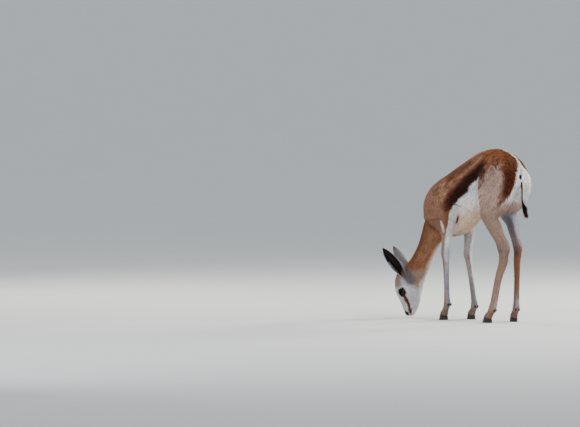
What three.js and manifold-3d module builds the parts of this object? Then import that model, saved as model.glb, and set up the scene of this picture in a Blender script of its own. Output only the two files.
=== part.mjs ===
// A young springbok, standing and grazing: muzzle at the ground, back arched, head turned a little left.
// x points to the animal's left, y to its tail and z up, in millimetres, and the feet stand on z = 0.
import * as THREE from "three";
import { mergeVertices } from "three/addons/utils/BufferGeometryUtils.js";
import Module from "manifold-3d";

const wasm = await Module();
wasm.setup();

// Driving dimensions
const GAP = 0.3; // between pieces that touch
const FAR = 900; // beyond every surface, for cutting blocks
const BELOW = -50; // under the ground, for cutting blocks
const HEAD_YAW = 30; // degrees that the head turns to the left
const HEAD_AXIS = [45, -296]; // x and y of the middle of the hanging head
const HOOF = {
  length: 36,
  width: 11.6,
  coronet: 17,
  coronetWay: [0, -0.4, 0.92],
  rise: 12,
  ahead: 5,
  cleft: 1.6,
  toeLean: 9,
  heelLean: 3,
  soleShare: 0.96,
  topShare: 0.94,
};
// Half of a hoof's outline, toe to heel: shares of a claw's width and of the hoof's half length.
const CLAW_PLAN = [
  [0, 1],
  [0.3, 0.86],
  [0.72, 0.55],
  [1, 0.1],
  [0.98, -0.45],
  [0.62, -0.9],
  [0.2, -1],
  [0, -0.94],
];
const CLAW_MIDDLE = [0.45, 0];
const CLAW_LEVELS = [0, 0.2, 1];
const DEWCLAW = { side: 6, back: 10.5, drop: 5, length: 5.5, width: 3.6, lean: 29 };
const EYE = { radius: 12.5, centre: [19.5, 14.2, 88], axis: [0.93, 0.34, -0.05] };
const LIDS = { thickness: 2, length: 21, open: 17, slant: 12 };
const EAR = { thickness: 2.4, tipThickness: 1, deep: 1.3, bow: 3, rings: 11, ribs: 6 };
const EARS = {
  left: { root: [20, -5, 130], tip: [69, 76, 241], opening: [0.97, 0.22, 0] },
  right: { root: [-20, -12, 130], tip: [-69, 77, 241], opening: [-0.7, 0.72, 0] },
};
// Radius and half angle of an ear's rolled section, root to tip.
const EAR_ROLLS = [
  [11.5, 165],
  [12.5, 150],
  [15.5, 124],
  [19, 102],
  [20, 88],
  [18.5, 78],
  [13, 68],
  [2.2, 55],
];
// The mouth line in the head's axes, lip to corner: forward and height.
const MOUTH = { line: [[-8, -4], [-9, 14], [-12, 30], [-17, 43]], open: 0.9, reach: 30 };
const NOSTRIL = { centre: [6.2, 13.5, 15], half: [1.6, 2.2, 4.6], lean: 20, turn: 35 };
const TUFT = {
  locks: 13,
  top: 420,
  bottom: 384,
  length: 40,
  shortest: 0.75,
  longest: 1.15,
  lowShare: 0.65,
  width: 5.5,
  thickness: 1.4,
  thinnest: 0.28,
  root: 1.2,
  splay: [0.1, 0.22],
  drift: [-3.6, 9],
  step: 2.4,
};
// A lock's stations, root to tip: share of its length and share of its width.
const LOCK_ROWS = [
  [0, 0.7],
  [0.3, 1],
  [0.65, 0.75],
  [1, 0.14],
];
// Where the limbs are parted from the trunk: inner x, lowest and highest y, highest z.
const FORE_CUT = { inner: 30, front: -166, back: -45, top: 332 };
const HIND_CUT = { inner: GAP / 2, front: 38, back: 260, top: 425 };
// The planes that part neck from trunk, and head from neck: a point and the way onwards.
const NECK_CUT = { point: [5, -203, 330], normal: [0.05, -0.5, -0.86] };
const HEAD_CUT = { point: [0, -25, 156], normal: [0, 0.39, -0.92] };

// Trunk stations, chest to rump: x, y, z, half width, half depth.
const TRUNK = [
  [0, -186, 384, 40, 56],
  [0, -156, 378, 48, 86],
  [0, -112, 393, 55, 106],
  [0, -52, 437, 63, 96],
  [0, 8, 467, 64, 96],
  [0, 64, 488, 62, 98],
  [0, 108, 494, 57, 88],
  [0, 138, 490, 47, 68],
  [0, 152, 486, 34, 42],
];
const BUTTOCK = [
  [34, 138, 506, 22, 34],
  [37, 160, 476, 24, 38],
  [38, 156, 444, 24, 36],
  [38, 132, 414, 22, 36],
];
// Neck stations, chest to poll; the last number turns the section to the left, in degrees.
const NECK = [
  [0, -160, 392, 40, 66, 0],
  [4, -196, 342, 38, 50, 4],
  [9, -215, 300, 32, 42, 8],
  [18, -234, 242, 28, 37, 14],
  [28, -254, 196, 27, 37, 20],
  [37, -273, 160, 28, 40, 26],
  [42, -286, 138, 28, 42, 30],
];
// Head stations, poll to muzzle, in the head's axes: side, forward, height, half width, half depth.
const HEAD = [
  [0, -7, 148, 27, 36],
  [0, 1, 128, 30, 49],
  [0, 4, 104, 30, 47],
  [0, 1, 84, 26, 41.5],
  [0, -3, 62, 19, 35],
  [0, -3.5, 42, 15, 28.5],
  [0, -3.5, 27, 14, 21.5],
];
const BROW = [
  [20, 20, 104, 9, 12],
  [22, 20, 90, 10, 13],
  [17, 17, 74, 8, 10],
];
const CHEEK = [
  [14, -20, 118, 13, 20],
  [15, -22, 96, 13, 19],
  [11, -18, 74, 10, 14],
];
const NOSE = [
  [0, 2, 34, 11, 13],
  [0, 4, 18, 10.5, 11],
];
const LIP = [
  [8, -8, 13, 4, 5],
  [10, -12, 28, 4, 5],
  [10, -17, 42, 4, 5],
];
// Limb sizes, top to bottom: half width and half depth.
const FORE_SIZES = [
  [18, 38],
  [24, 49],
  [25, 50],
  [20, 35],
  [16, 22],
  [13, 16],
  [13.5, 16],
  [10, 12.5],
  [8, 9.5],
  [8.5, 10.5],
  [11, 13],
  [9.5, 10.5],
  [12, 13.5],
];
const HIND_SIZES = [
  [28, 50],
  [32, 64],
  [33, 62],
  [28, 46],
  [20, 30],
  [17, 25],
  [13.5, 21],
  [12.5, 24],
  [11.5, 18],
  [10, 16],
  [8.3, 13],
  [9, 13],
  [11.5, 14],
  [10, 11.5],
  [12.5, 14],
];
// Where each limb's stations stand: x, y, z. The toes of the hind feet turn out.
const LIMBS = {
  fore_left: {
    sizes: FORE_SIZES,
    yaw: 4,
    places: [
      [22, -150, 436],
      [35, -165, 410],
      [41, -174, 372],
      [43, -140, 335],
      [45, -116, 300],
      [45, -120, 252],
      [45, -122, 226],
      [45, -119, 200],
      [45, -116, 140],
      [45, -114, 78],
      [45, -112, 58],
      [45, -119, 38],
      [46, -126, 21],
    ],
  },
  fore_right: {
    sizes: FORE_SIZES,
    yaw: -4,
    places: [
      [-22, -150, 436],
      [-35, -162, 410],
      [-41, -168, 372],
      [-43, -130, 335],
      [-44, -98, 302],
      [-44, -101, 250],
      [-44, -103, 222],
      [-44, -98, 196],
      [-44, -87, 140],
      [-45, -75, 72],
      [-45, -72, 49],
      [-45, -78, 33],
      [-46, -86, 21],
    ],
  },
  hind_left: {
    sizes: HIND_SIZES,
    yaw: 18,
    places: [
      [33, 118, 508],
      [35, 110, 472],
      [38, 102, 430],
      [42, 92, 386],
      [48, 104, 347],
      [50, 125, 316],
      [50, 147, 284],
      [47, 159, 256],
      [47, 160, 234],
      [47, 157, 205],
      [48, 135, 149],
      [50, 117, 70],
      [51, 110, 47],
      [52, 102, 33],
      [54, 94, 21],
    ],
  },
  hind_right: {
    sizes: HIND_SIZES,
    yaw: -18,
    places: [
      [-33, 118, 508],
      [-35, 110, 472],
      [-38, 98, 430],
      [-44, 86, 388],
      [-49, 101, 347],
      [-48, 112, 316],
      [-46, 124, 284],
      [-44, 136, 256],
      [-44, 137, 234],
      [-44, 133, 205],
      [-46, 131, 145],
      [-48, 126, 68],
      [-49, 124, 47],
      [-50, 118, 33],
      [-52, 111, 21],
    ],
  },
};
const TAIL_CHAIN = [
  [0, 170, 506, 9, 9],
  [3, 190, 499, 7, 7],
  [6, 203, 482, 5, 5],
  [8, 208, 450, 3.6, 3.6],
  [8, 209, 420, 3.4, 3.4],
  [6, 212, 398, 3.8, 3.8],
  [3, 216, 378, 2.6, 2.6],
  [1, 219, 366, 1.4, 1.4],
];

const vector = (p) => new THREE.Vector3(p[0], p[1], p[2]);
const X = vector([1, 0, 0]);
const Y = vector([0, 1, 0]);
const Z = vector([0, 0, 1]);
const HEAD_TURN = THREE.MathUtils.degToRad(HEAD_YAW);

// A direction in the head's axes, to its left, to its face and up.
function headWay([side, front, up]) {
  return vector([
    side * Math.cos(HEAD_TURN) + front * Math.sin(HEAD_TURN),
    side * Math.sin(HEAD_TURN) - front * Math.cos(HEAD_TURN),
    up,
  ]);
}

// A point in the head's axes, whose height is the height over the ground.
function headPoint(place) {
  return headWay(place).add(vector([...HEAD_AXIS, 0]));
}

// A smooth curve through rows of numbers: the row at t, which counts rows from 0.
function rowAt(rows, t) {
  const last = rows.length - 1;
  const i = Math.min(Math.floor(t), last - 1);
  const s = t - i;
  const pick = (k) => rows[Math.min(Math.max(k, 0), last)];
  const [a, b, c, d] = [pick(i - 1), pick(i), pick(i + 1), pick(i + 2)];
  return b.map((_, n) => {
    const slopeIn = (c[n] - a[n]) / 2;
    const slopeOut = (d[n] - b[n]) / 2;
    const rise = c[n] - b[n];
    const cubic = slopeIn + slopeOut - 2 * rise;
    const square = 3 * rise - 2 * slopeIn - slopeOut;
    return b[n] + s * (slopeIn + s * (square + s * cubic));
  });
}

// Each span between stations becomes this many straight lengths.
const STEPS = 3;

// A chain of elliptic lengths, from rows of x, y, z, half width, half depth and turn in degrees,
// that joins what came before it with a fillet as wide as blend.
function chain(rows, blend) {
  const count = (rows.length - 1) * STEPS;
  const stations = [];
  for (let i = 0; i <= count; i++) {
    stations.push(rowAt(rows, i / STEPS));
  }
  const middle = new THREE.Vector3();
  stations.forEach((s) => middle.add(vector(s)));
  middle.divideScalar(stations.length);
  const reach = Math.max(...stations.map((s) => middle.distanceTo(vector(s)) + Math.max(s[3], s[4])));
  return { stations, blend, middle, reach };
}

// About how far a point lies from the surface of one length, negative inside.
function lengthDistance(x, y, z, a, b) {
  const ex = b[0] - a[0];
  const ey = b[1] - a[1];
  const ez = b[2] - a[2];
  const along = (x - a[0]) * ex + (y - a[1]) * ey + (z - a[2]) * ez;
  const t = Math.min(Math.max(along / (ex * ex + ey * ey + ez * ez), 0), 1);
  const dx = x - a[0] - ex * t;
  const dy = y - a[1] - ey * t;
  const dz = z - a[2] - ez * t;
  const width = a[3] + (b[3] - a[3]) * t;
  const depth = a[4] + (b[4] - a[4]) * t;
  const turn = THREE.MathUtils.degToRad(a[5] + (b[5] - a[5]) * t);
  const across = dx * Math.cos(turn) + dy * Math.sin(turn);
  const rest = Math.max(dx * dx + dy * dy + dz * dz - across * across, 0);
  const w2 = width * width;
  const d2 = depth * depth;
  const k0 = Math.sqrt((across * across) / w2 + rest / d2);
  const k1 = Math.sqrt((across * across) / (w2 * w2) + rest / (d2 * d2));
  return k1 < 1e-9 ? -Math.min(width, depth) : (k0 * (k0 - 1)) / k1;
}

function chainDistance(part, x, y, z) {
  let best = Infinity;
  for (let i = 1; i < part.stations.length; i++) {
    best = Math.min(best, lengthDistance(x, y, z, part.stations[i - 1], part.stations[i]));
  }
  return best;
}

// The body's surface is where this is 0: the chains joined with soft fillets.
function bodyDistance(parts, x, y, z) {
  let value = Infinity;
  for (const part of parts) {
    const { middle, reach, blend } = part;
    const far = Math.hypot(x - middle.x, y - middle.y, z - middle.z) - reach;
    if (far > value + blend && far > blend) {
      continue;
    }
    const next = chainDistance(part, x, y, z);
    const mix = Math.max(blend - Math.abs(value - next), 0);
    value = Math.min(value, next) - (blend ? (mix * mix) / (4 * blend) : 0);
  }
  return value;
}

const mirrored = (rows) => rows.map(([x, ...rest]) => [-x, ...rest]);
const straight = (rows) => rows.map((row) => [...row, 0]);
const onHead = (rows) =>
  rows.map((row) => [...headPoint(row).toArray(), row[3], row[4], HEAD_YAW]);
const limbRows = ({ places, sizes, yaw }) => places.map((place, i) => [...place, ...sizes[i], yaw]);

const LIMB_FILLET = 22;
// For each kind of limb: the stations of its root in the trunk, and its spine's first station and points.
const FORE_SPINE = { root: 5, first: 3, points: 24 };
const HIND_SPINE = { root: 4, first: 2, points: 27 };
const limbSpine = (limb) => (limb.sizes === FORE_SIZES ? FORE_SPINE : HIND_SPINE);
const CORE = [
  chain(straight(TRUNK), 0),
  chain(straight(BUTTOCK), 26),
  chain(straight(mirrored(BUTTOCK)), 26),
  chain(NECK, 26),
  chain(onHead(HEAD), 14),
  chain(onHead(BROW), 10),
  chain(onHead(mirrored(BROW)), 10),
  chain(onHead(CHEEK), 12),
  chain(onHead(mirrored(CHEEK)), 12),
  chain(onHead(NOSE), 5),
  chain(onHead(LIP), 4),
  chain(onHead(mirrored(LIP)), 4),
];
const BODY = [...CORE, ...Object.values(LIMBS).map((limb) => chain(limbRows(limb), LIMB_FILLET))];
// The trunk with no more of its limbs than their roots.
const TRUNK_BODY = [
  ...CORE,
  ...Object.values(LIMBS).map((limb) =>
    chain(limbRows(limb).slice(0, limbSpine(limb).root), LIMB_FILLET),
  ),
];

// How far the surface lies along a ray from a point inside it, at most reach.
function rayLength(parts, from, ray, level, reach) {
  const value = (r) => {
    const [x, y, z] = [from.x + ray.x * r, from.y + ray.y * r, from.z + ray.z * r];
    return bodyDistance(parts, x, y, z) - level;
  };
  let r = 0;
  let here = value(r);
  while (here < 0 && r < reach) {
    r += Math.max(-0.7 * here, 0.4);
    here = value(r);
  }
  if (r >= reach) {
    return reach;
  }
  for (let i = 0; i < 6; i++) {
    r -= 0.8 * value(r);
  }
  return Math.min(Math.max(r, 1), reach);
}

// Faces between rings of as many points each, with a pole point before the first and after the last.
function ringFaces(rings, sides) {
  const at = (ring, side) => 1 + ring * sides + (side % sides);
  const pole = 1 + rings * sides;
  const index = [];
  for (let s = 0; s < sides; s++) {
    index.push(0, at(0, s + 1), at(0, s));
    index.push(pole, at(rings - 1, s), at(rings - 1, s + 1));
    for (let r = 0; r + 1 < rings; r++) {
      index.push(at(r, s), at(r, s + 1), at(r + 1, s));
      index.push(at(r, s + 1), at(r + 1, s + 1), at(r + 1, s));
    }
  }
  return index;
}

function closedGeometry(points, index) {
  const geometry = new THREE.BufferGeometry();
  geometry.setAttribute("position", new THREE.Float32BufferAttribute(points, 3));
  geometry.setIndex(index);
  return geometry;
}

// The body's skin around a spine of points: rings of rays upright to the spine, or to the way given,
// and rings that fan out to a pole at both ends. A level over 0 lies that far outside the skin.
function skin(spine, { fans, sides, reach, way = null, level = 0, parts = BODY }) {
  const curve = new THREE.CatmullRomCurve3(spine.map(vector));
  const stops = [];
  for (let i = fans; i > 0; i--) {
    stops.push([0, (-i * Math.PI) / 2 / (fans + 1)]);
  }
  for (let i = 0; i < spine.length; i++) {
    stops.push([i / (spine.length - 1), 0]);
  }
  for (let i = 1; i <= fans; i++) {
    stops.push([1, (i * Math.PI) / 2 / (fans + 1)]);
  }
  const points = [];
  const push = (from, ray) => {
    points.push(...from.clone().addScaledVector(ray, rayLength(parts, from, ray, level, reach)).toArray());
  };
  const along = (t) => (way ? way.clone() : curve.getTangent(t));
  push(curve.getPoint(0), along(0).negate());
  for (const [t, lean] of stops) {
    const centre = curve.getPoint(t);
    const onward = along(t);
    const u = X.clone().addScaledVector(onward, -X.dot(onward)).normalize();
    const v = onward.clone().cross(u);
    for (let i = 0; i < sides; i++) {
      const turn = (2 * Math.PI * (i + 0.5)) / sides;
      const ray = u.clone().multiplyScalar(Math.cos(turn)).addScaledVector(v, Math.sin(turn));
      ray.multiplyScalar(Math.cos(lean)).addScaledVector(onward, Math.sin(lean));
      push(centre, ray);
    }
  }
  push(curve.getPoint(1), along(1));
  return closedGeometry(points, ringFaces(stops.length, sides));
}

// A closed geometry as a solid that can be joined and cut.
function solid(geometry) {
  const bare = geometry.clone();
  bare.deleteAttribute("normal");
  bare.deleteAttribute("uv");
  const merged = mergeVertices(bare, 1e-4);
  const mesh = new wasm.Mesh({
    numProp: 3,
    vertProperties: merged.getAttribute("position").array,
    triVerts: new Uint32Array(merged.index.array),
  });
  return new wasm.Manifold(mesh);
}

// The largest closed surface of a solid, so that no loose scrap is left.
function largest(shape) {
  const bodies = shape.decompose();
  return bodies.reduce((a, b) => (b.volume() > a.volume() ? b : a));
}

// All that lies beyond a plane, as a large block that starts offset past the point.
function beyond(point, normal, offset = 0) {
  const block = new THREE.BoxGeometry(FAR, FAR, FAR);
  block.translate(0, 0, FAR / 2 + offset);
  block.applyQuaternion(new THREE.Quaternion().setFromUnitVectors(Z, normal.clone().normalize()));
  return solid(block.translate(point.x, point.y, point.z));
}

function blockBetween(low, high) {
  const size = high.map((value, i) => value - low[i]);
  const block = new THREE.BoxGeometry(...size);
  return solid(block.translate(...low.map((value, i) => value + size[i] / 2)));
}

// The space that a limb takes from the trunk, grown by a margin. Side is 1 on the left, -1 on the right.
function limbSpace(cut, side, margin) {
  const xs = [side * (cut.inner - margin), side * FAR].sort((a, b) => a - b);
  const low = [xs[0], cut.front - margin, BELOW];
  const high = [xs[1], cut.back + margin, cut.top + margin];
  return blockBetween(low, high);
}

// The space of the neck and head, in front of the forelimbs, grown by a margin.
function neckSpace(margin) {
  const front = blockBetween([-FAR, -FAR, BELOW], [FAR, FORE_CUT.front - GAP + margin, FAR]);
  return front.intersect(beyond(vector(NECK_CUT.point), vector(NECK_CUT.normal), -margin));
}

function headSpace(margin) {
  return beyond(headPoint(HEAD_CUT.point), headWay(HEAD_CUT.normal), -margin);
}

// The points of a spine through rows, from one row to another.
function spineOf(rows, from, to, count) {
  const points = [];
  for (let i = 0; i < count; i++) {
    points.push(rowAt(rows, from + ((to - from) * i) / (count - 1)).slice(0, 3));
  }
  return points;
}

const TRUNK_SPINE = spineOf(TRUNK, 0.8, 7, 15);
const TRUNK_SKIN = { fans: 7, sides: 32, reach: 160, way: Y, parts: TRUNK_BODY };
const NECK_SPINE = spineOf(NECK, 1, 6, 13);
const HEAD_SPINE = spineOf(
  [[0, -24, 168], [0, -12, 152], ...HEAD].map((row) => headPoint(row).toArray()),
  0,
  8,
  21,
);
const HEAD_SKIN = { fans: 5, sides: 32, reach: 60 };

function torso() {
  let shape = solid(skin(TRUNK_SPINE, TRUNK_SKIN)).subtract(neckSpace(GAP));
  for (const side of [1, -1]) {
    shape = shape.subtract(limbSpace(FORE_CUT, side, GAP));
    shape = shape.subtract(limbSpace(HIND_CUT, side, GAP));
  }
  return shape;
}

function neck() {
  const shape = solid(skin(NECK_SPINE, { fans: 0, sides: 24, reach: 70 }));
  return shape.intersect(neckSpace(0)).subtract(headSpace(GAP));
}

// The ball of an eye, a little larger by margin. Side is 1 on the left, -1 on the right.
function eyeBall(side, margin = 0) {
  const [x, front, height] = EYE.centre;
  const ball = new THREE.SphereGeometry(EYE.radius + margin, 24, 16);
  return solid(ball.translate(...headPoint([side * x, front, height]).toArray()));
}

// The opening between the lids: a slanted oval bored along the eye's axis.
function lidOpening(side) {
  const [x, front, height] = EYE.centre;
  const oval = new THREE.CylinderGeometry(0.5, 0.5, 3 * EYE.radius, 24);
  oval.rotateX(Math.PI / 2).translate(0, 0, 1.5 * EYE.radius);
  oval.scale(LIDS.open, LIDS.length, 1).rotateZ(THREE.MathUtils.degToRad(side * LIDS.slant));
  const axis = headWay([side * EYE.axis[0], EYE.axis[1], EYE.axis[2]]).normalize();
  const up = Z.clone().addScaledVector(axis, -Z.dot(axis)).normalize();
  oval.applyMatrix4(new THREE.Matrix4().makeBasis(up.clone().cross(axis), up, axis));
  return solid(oval.translate(...headPoint([side * x, front, height]).toArray()));
}

// The slit of the mouth: a thin curved blade right across the muzzle.
function mouthSlit() {
  const half = MOUTH.open / 2;
  const fore = MOUTH.line.map(([front, height]) => new THREE.Vector2(front + half, height));
  const aft = MOUTH.line.map(([front, height]) => new THREE.Vector2(front - half, height));
  const tip = new THREE.Vector2(...MOUTH.line[MOUTH.line.length - 1]).add(new THREE.Vector2(-0.5, 1.5));
  const outline = new THREE.Shape([...fore, tip, ...aft.reverse()]);
  const blade = new THREE.ExtrudeGeometry(outline, { depth: 2 * MOUTH.reach, bevelEnabled: false });
  blade.translate(0, 0, -MOUTH.reach);
  blade.applyMatrix4(new THREE.Matrix4().makeBasis(headWay([0, 1, 0]), Z, headWay([-1, 0, 0])));
  return solid(blade.translate(...HEAD_AXIS, 0));
}

function nostril(side) {
  const [x, front, height] = NOSTRIL.centre;
  const pit = new THREE.SphereGeometry(1, 10, 8).scale(...NOSTRIL.half);
  pit.rotateX(THREE.MathUtils.degToRad(-NOSTRIL.lean));
  pit.rotateY(THREE.MathUtils.degToRad(side * NOSTRIL.turn));
  pit.rotateZ(HEAD_TURN);
  return solid(pit.translate(...headPoint([side * x, front, height]).toArray()));
}

function head() {
  let shape = solid(skin(HEAD_SPINE, HEAD_SKIN)).intersect(headSpace(0));
  for (const side of [1, -1]) {
    shape = shape.add(eyeBall(side, LIDS.thickness));
    shape = shape.subtract(eyeBall(side, GAP)).subtract(lidOpening(side)).subtract(nostril(side));
  }
  return shape.subtract(mouthSlit());
}

// A leaf-shaped cup, rolled into a tube at its root: two skins a thickness apart, closed at the rims.
function earCup({ root, tip, opening }) {
  const start = headPoint(root);
  const along = headPoint(tip).sub(start);
  const length = along.length();
  along.normalize();
  const open = headWay(opening);
  open.addScaledVector(along, -open.dot(along)).normalize();
  const across = along.clone().cross(open);
  const points = [];
  for (let i = 0; i <= EAR.rings; i++) {
    const s = i / EAR.rings;
    const [radius, angle] = rowAt(EAR_ROLLS, s * (EAR_ROLLS.length - 1));
    const thickness = EAR.thickness + (EAR.tipThickness - EAR.thickness) * s;
    const middle = (radius * (1 + Math.cos(THREE.MathUtils.degToRad(angle)))) / 2;
    const bow = middle - EAR.bow * Math.sin(Math.PI * s);
    for (let k = 0; k <= 2 * EAR.ribs + 1; k++) {
      const inner = k > EAR.ribs;
      const share = inner ? 3 - (2 * (k - 1)) / EAR.ribs : (2 * k) / EAR.ribs - 1;
      const turn = THREE.MathUtils.degToRad(angle) * share;
      const r = inner ? radius - thickness : radius;
      const p = start.clone().addScaledVector(along, s * length);
      p.addScaledVector(across, r * Math.sin(turn));
      p.addScaledVector(open, EAR.deep * (bow - r * Math.cos(turn)));
      points.push(...p.toArray());
    }
  }
  const row = 2 * EAR.ribs + 2;
  const at = (ring, k) => ring * row + (k % row);
  const index = [];
  for (let k = 0; k < row; k++) {
    for (let r = 0; r < EAR.rings; r++) {
      index.push(at(r, k), at(r + 1, k), at(r, k + 1));
      index.push(at(r, k + 1), at(r + 1, k), at(r + 1, k + 1));
    }
  }
  const last = EAR.rings;
  for (let k = 0; k < EAR.ribs; k++) {
    const far = row - 1 - k;
    index.push(at(0, k), at(0, k + 1), at(0, far));
    index.push(at(0, k + 1), at(0, far - 1), at(0, far));
    index.push(at(last, k + 1), at(last, k), at(last, far));
    index.push(at(last, k + 1), at(last, far), at(last, far - 1));
  }
  return solid(closedGeometry(points, index));
}

// A tapered length with a flat oval section, through rows of x, y, z, half width and half thickness.
function tapered(rows, sides, across) {
  const curve = new THREE.CatmullRomCurve3(rows.map(vector));
  const points = [...vector(rows[0]).toArray()];
  rows.forEach((row, i) => {
    const onward = curve.getTangent(i / (rows.length - 1));
    const u = across.clone().addScaledVector(onward, -across.dot(onward)).normalize();
    const v = onward.clone().cross(u);
    for (let k = 0; k < sides; k++) {
      const turn = (2 * Math.PI * k) / sides;
      const p = vector(row).addScaledVector(u, row[3] * Math.cos(turn));
      points.push(...p.addScaledVector(v, row[4] * Math.sin(turn)).toArray());
    }
  });
  const final = vector(rows[rows.length - 1]);
  points.push(...final.toArray());
  return solid(closedGeometry(points, ringFaces(rows.length, sides)));
}

// Even random draws from 0 to 1, the same in each run.
function draws(seed) {
  let state = seed;
  return () => {
    state = (state * 16807) % 2147483647;
    return state / 2147483647;
  };
}

// The tail with its tuft of flat, overlapping locks round the lower end.
function tail() {
  let shape = tapered(spineRows(TAIL_CHAIN, 20), 10, X);
  const draw = draws(7);
  const between = (low, high) => low + (high - low) * draw();
  for (let i = 0; i < TUFT.locks; i++) {
    const share = i / (TUFT.locks - 1);
    const z = TUFT.top + (TUFT.bottom - TUFT.top) * share;
    const around = i * TUFT.step + draw();
    const out = vector([Math.cos(around), Math.sin(around), 0]);
    const root = vector([...TAIL_CHAIN.find((row) => row[2] <= z).slice(0, 2), z]);
    const whole = TUFT.length * between(TUFT.shortest, TUFT.longest);
    const length = whole * (1 + (TUFT.lowShare - 1) * share);
    const splay = between(...TUFT.splay);
    const rows = LOCK_ROWS.map(([s, slim]) => {
      const p = root.clone().addScaledVector(out, TUFT.root + length * splay * s);
      const drift = s * s * (1 - share / 2);
      const half = (TUFT.width / 2) * slim;
      const thin = Math.max((TUFT.thickness / 2) * slim, TUFT.thinnest);
      return [p.x + TUFT.drift[0] * drift, p.y + TUFT.drift[1] * drift, z - length * s, half, thin];
    });
    shape = shape.add(tapered(rows, 6, Z.clone().cross(out)));
  }
  return shape.subtract(solid(skin(TRUNK_SPINE, { ...TRUNK_SKIN, level: GAP })));
}

function spineRows(rows, count) {
  const all = [];
  for (let i = 0; i < count; i++) {
    all.push(rowAt(rows, ((rows.length - 1) * i) / (count - 1)));
  }
  return all;
}

// A limb's own axes at its foot: to the limb's left, to its toe and up.
function footWay(yaw, [side, front, up]) {
  const turn = THREE.MathUtils.degToRad(yaw);
  return vector([
    side * Math.cos(turn) + front * Math.sin(turn),
    side * Math.sin(turn) - front * Math.cos(turn),
    up,
  ]);
}

// The plane of the coronet, where the limb meets its hoof.
function coronet(limb) {
  const foot = vector(limb.places[limb.places.length - 1]);
  foot.z = HOOF.coronet;
  return { point: foot, normal: footWay(limb.yaw, HOOF.coronetWay) };
}

function limbSkin(limb, level) {
  const { first, points } = limbSpine(limb);
  const spine = spineOf(limb.places, first, limb.places.length - 1, points);
  return solid(skin(spine, { fans: 2, sides: 16, reach: 100, level }));
}

function limbSolid(limb, side) {
  const { point, normal } = coronet(limb);
  const space = limbSpace(limb.sizes === FORE_SIZES ? FORE_CUT : HIND_CUT, side, 0);
  return limbSkin(limb, 0).intersect(space).intersect(beyond(point, normal, GAP / 2));
}

// One claw of a hoof: a level sole, a wall that leans back to the coronet, flat along the cleft.
function claw(limb, half) {
  const { point, normal } = coronet(limb);
  const points = [];
  const push = (level, [across, along]) => {
    const swell = level ? 1 + (HOOF.topShare - 1) * level : HOOF.soleShare;
    const middle = HOOF.ahead - ((HOOF.toeLean - HOOF.heelLean) / 2) * level;
    const reach = HOOF.length / 2 - ((HOOF.toeLean + HOOF.heelLean) / 2) * level;
    const side = half * (HOOF.cleft / 2 + across * HOOF.width * swell);
    const height = (HOOF.coronet + HOOF.rise) * level;
    const p = footWay(limb.yaw, [side, middle + along * reach, height]);
    points.push(p.x + point.x, p.y + point.y, p.z);
  };
  push(CLAW_LEVELS[0], CLAW_MIDDLE);
  CLAW_LEVELS.forEach((level) => CLAW_PLAN.forEach((place) => push(level, place)));
  push(CLAW_LEVELS[CLAW_LEVELS.length - 1], CLAW_MIDDLE);
  const index = ringFaces(CLAW_LEVELS.length, CLAW_PLAN.length);
  if (half < 0) {
    index.reverse();
  }
  return solid(closedGeometry(points, index)).subtract(beyond(point, normal, -GAP / 2));
}

// A dewclaw behind the fetlock, standing on the limb's skin.
function dewclaw(limb, half, limbGrown) {
  const fetlock = vector(limb.places[limb.places.length - 3]);
  const nub = new THREE.SphereGeometry(1, 8, 6);
  nub.scale(DEWCLAW.width, DEWCLAW.width, DEWCLAW.length);
  nub.rotateX(THREE.MathUtils.degToRad(-DEWCLAW.lean));
  nub.rotateZ(THREE.MathUtils.degToRad(limb.yaw));
  const place = footWay(limb.yaw, [half * DEWCLAW.side, -DEWCLAW.back, -DEWCLAW.drop]).add(fetlock);
  return solid(nub.translate(...place.toArray())).subtract(limbGrown);
}

const COATS = { russet: 0x9a5f3c, tan: 0xb98d6b, pale: 0xd8cdc0, dark: 0x1c1613 };

const model = new THREE.Group();

function place(name, shape, colour, roughness = 0.9) {
  const mesh = largest(shape).getMesh();
  const geometry = new THREE.BufferGeometry();
  geometry.setAttribute("position", new THREE.BufferAttribute(mesh.vertProperties, 3));
  geometry.setIndex(new THREE.BufferAttribute(mesh.triVerts, 1));
  geometry.computeVertexNormals();
  const material = new THREE.MeshStandardMaterial({ color: colour, roughness, metalness: 0 });
  const piece = new THREE.Mesh(geometry, material);
  piece.name = name;
  model.add(piece);
}

place("torso", torso(), COATS.russet);
place("neck", neck(), COATS.tan);
place("head", head(), COATS.pale);
place("tail", tail(), COATS.dark);

const headGrown = solid(skin(HEAD_SPINE, { ...HEAD_SKIN, level: GAP }));
const neckGrown = solid(skin(NECK_SPINE, { fans: 0, sides: 24, reach: 70, level: GAP }));
for (const [name, ear] of Object.entries(EARS)) {
  place("ear_" + name, earCup(ear).subtract(headGrown).subtract(neckGrown), COATS.tan);
}
for (const [name, side] of [["left", 1], ["right", -1]]) {
  place("eye_" + name, eyeBall(side), COATS.dark, 0.1);
}
for (const [name, limb] of Object.entries(LIMBS)) {
  place(name, limbSolid(limb, name.endsWith("left") ? 1 : -1), COATS.tan);
  const grown = limbSkin(limb, GAP);
  for (const [half, which] of [[1, "a"], [-1, "b"]]) {
    place("hoof_" + name + "_" + which, claw(limb, half), COATS.dark, 0.5);
    place("dewclaw_" + name + "_" + which, dewclaw(limb, half, grown), COATS.dark, 0.5);
  }
}

// The origin is on the ground, under the middle of the animal's box.
const middle = new THREE.Box3().setFromObject(model).getCenter(new THREE.Vector3());
model.position.set(-middle.x, -middle.y, 0);

export default model;
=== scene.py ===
"""A young springbok that grazes: skin, coat, ears, tail, eyes and hooves, with floor, lights and camera."""

import math

import bpy
import numpy as np
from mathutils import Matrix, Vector
from mathutils.bvhtree import BVHTree


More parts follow.
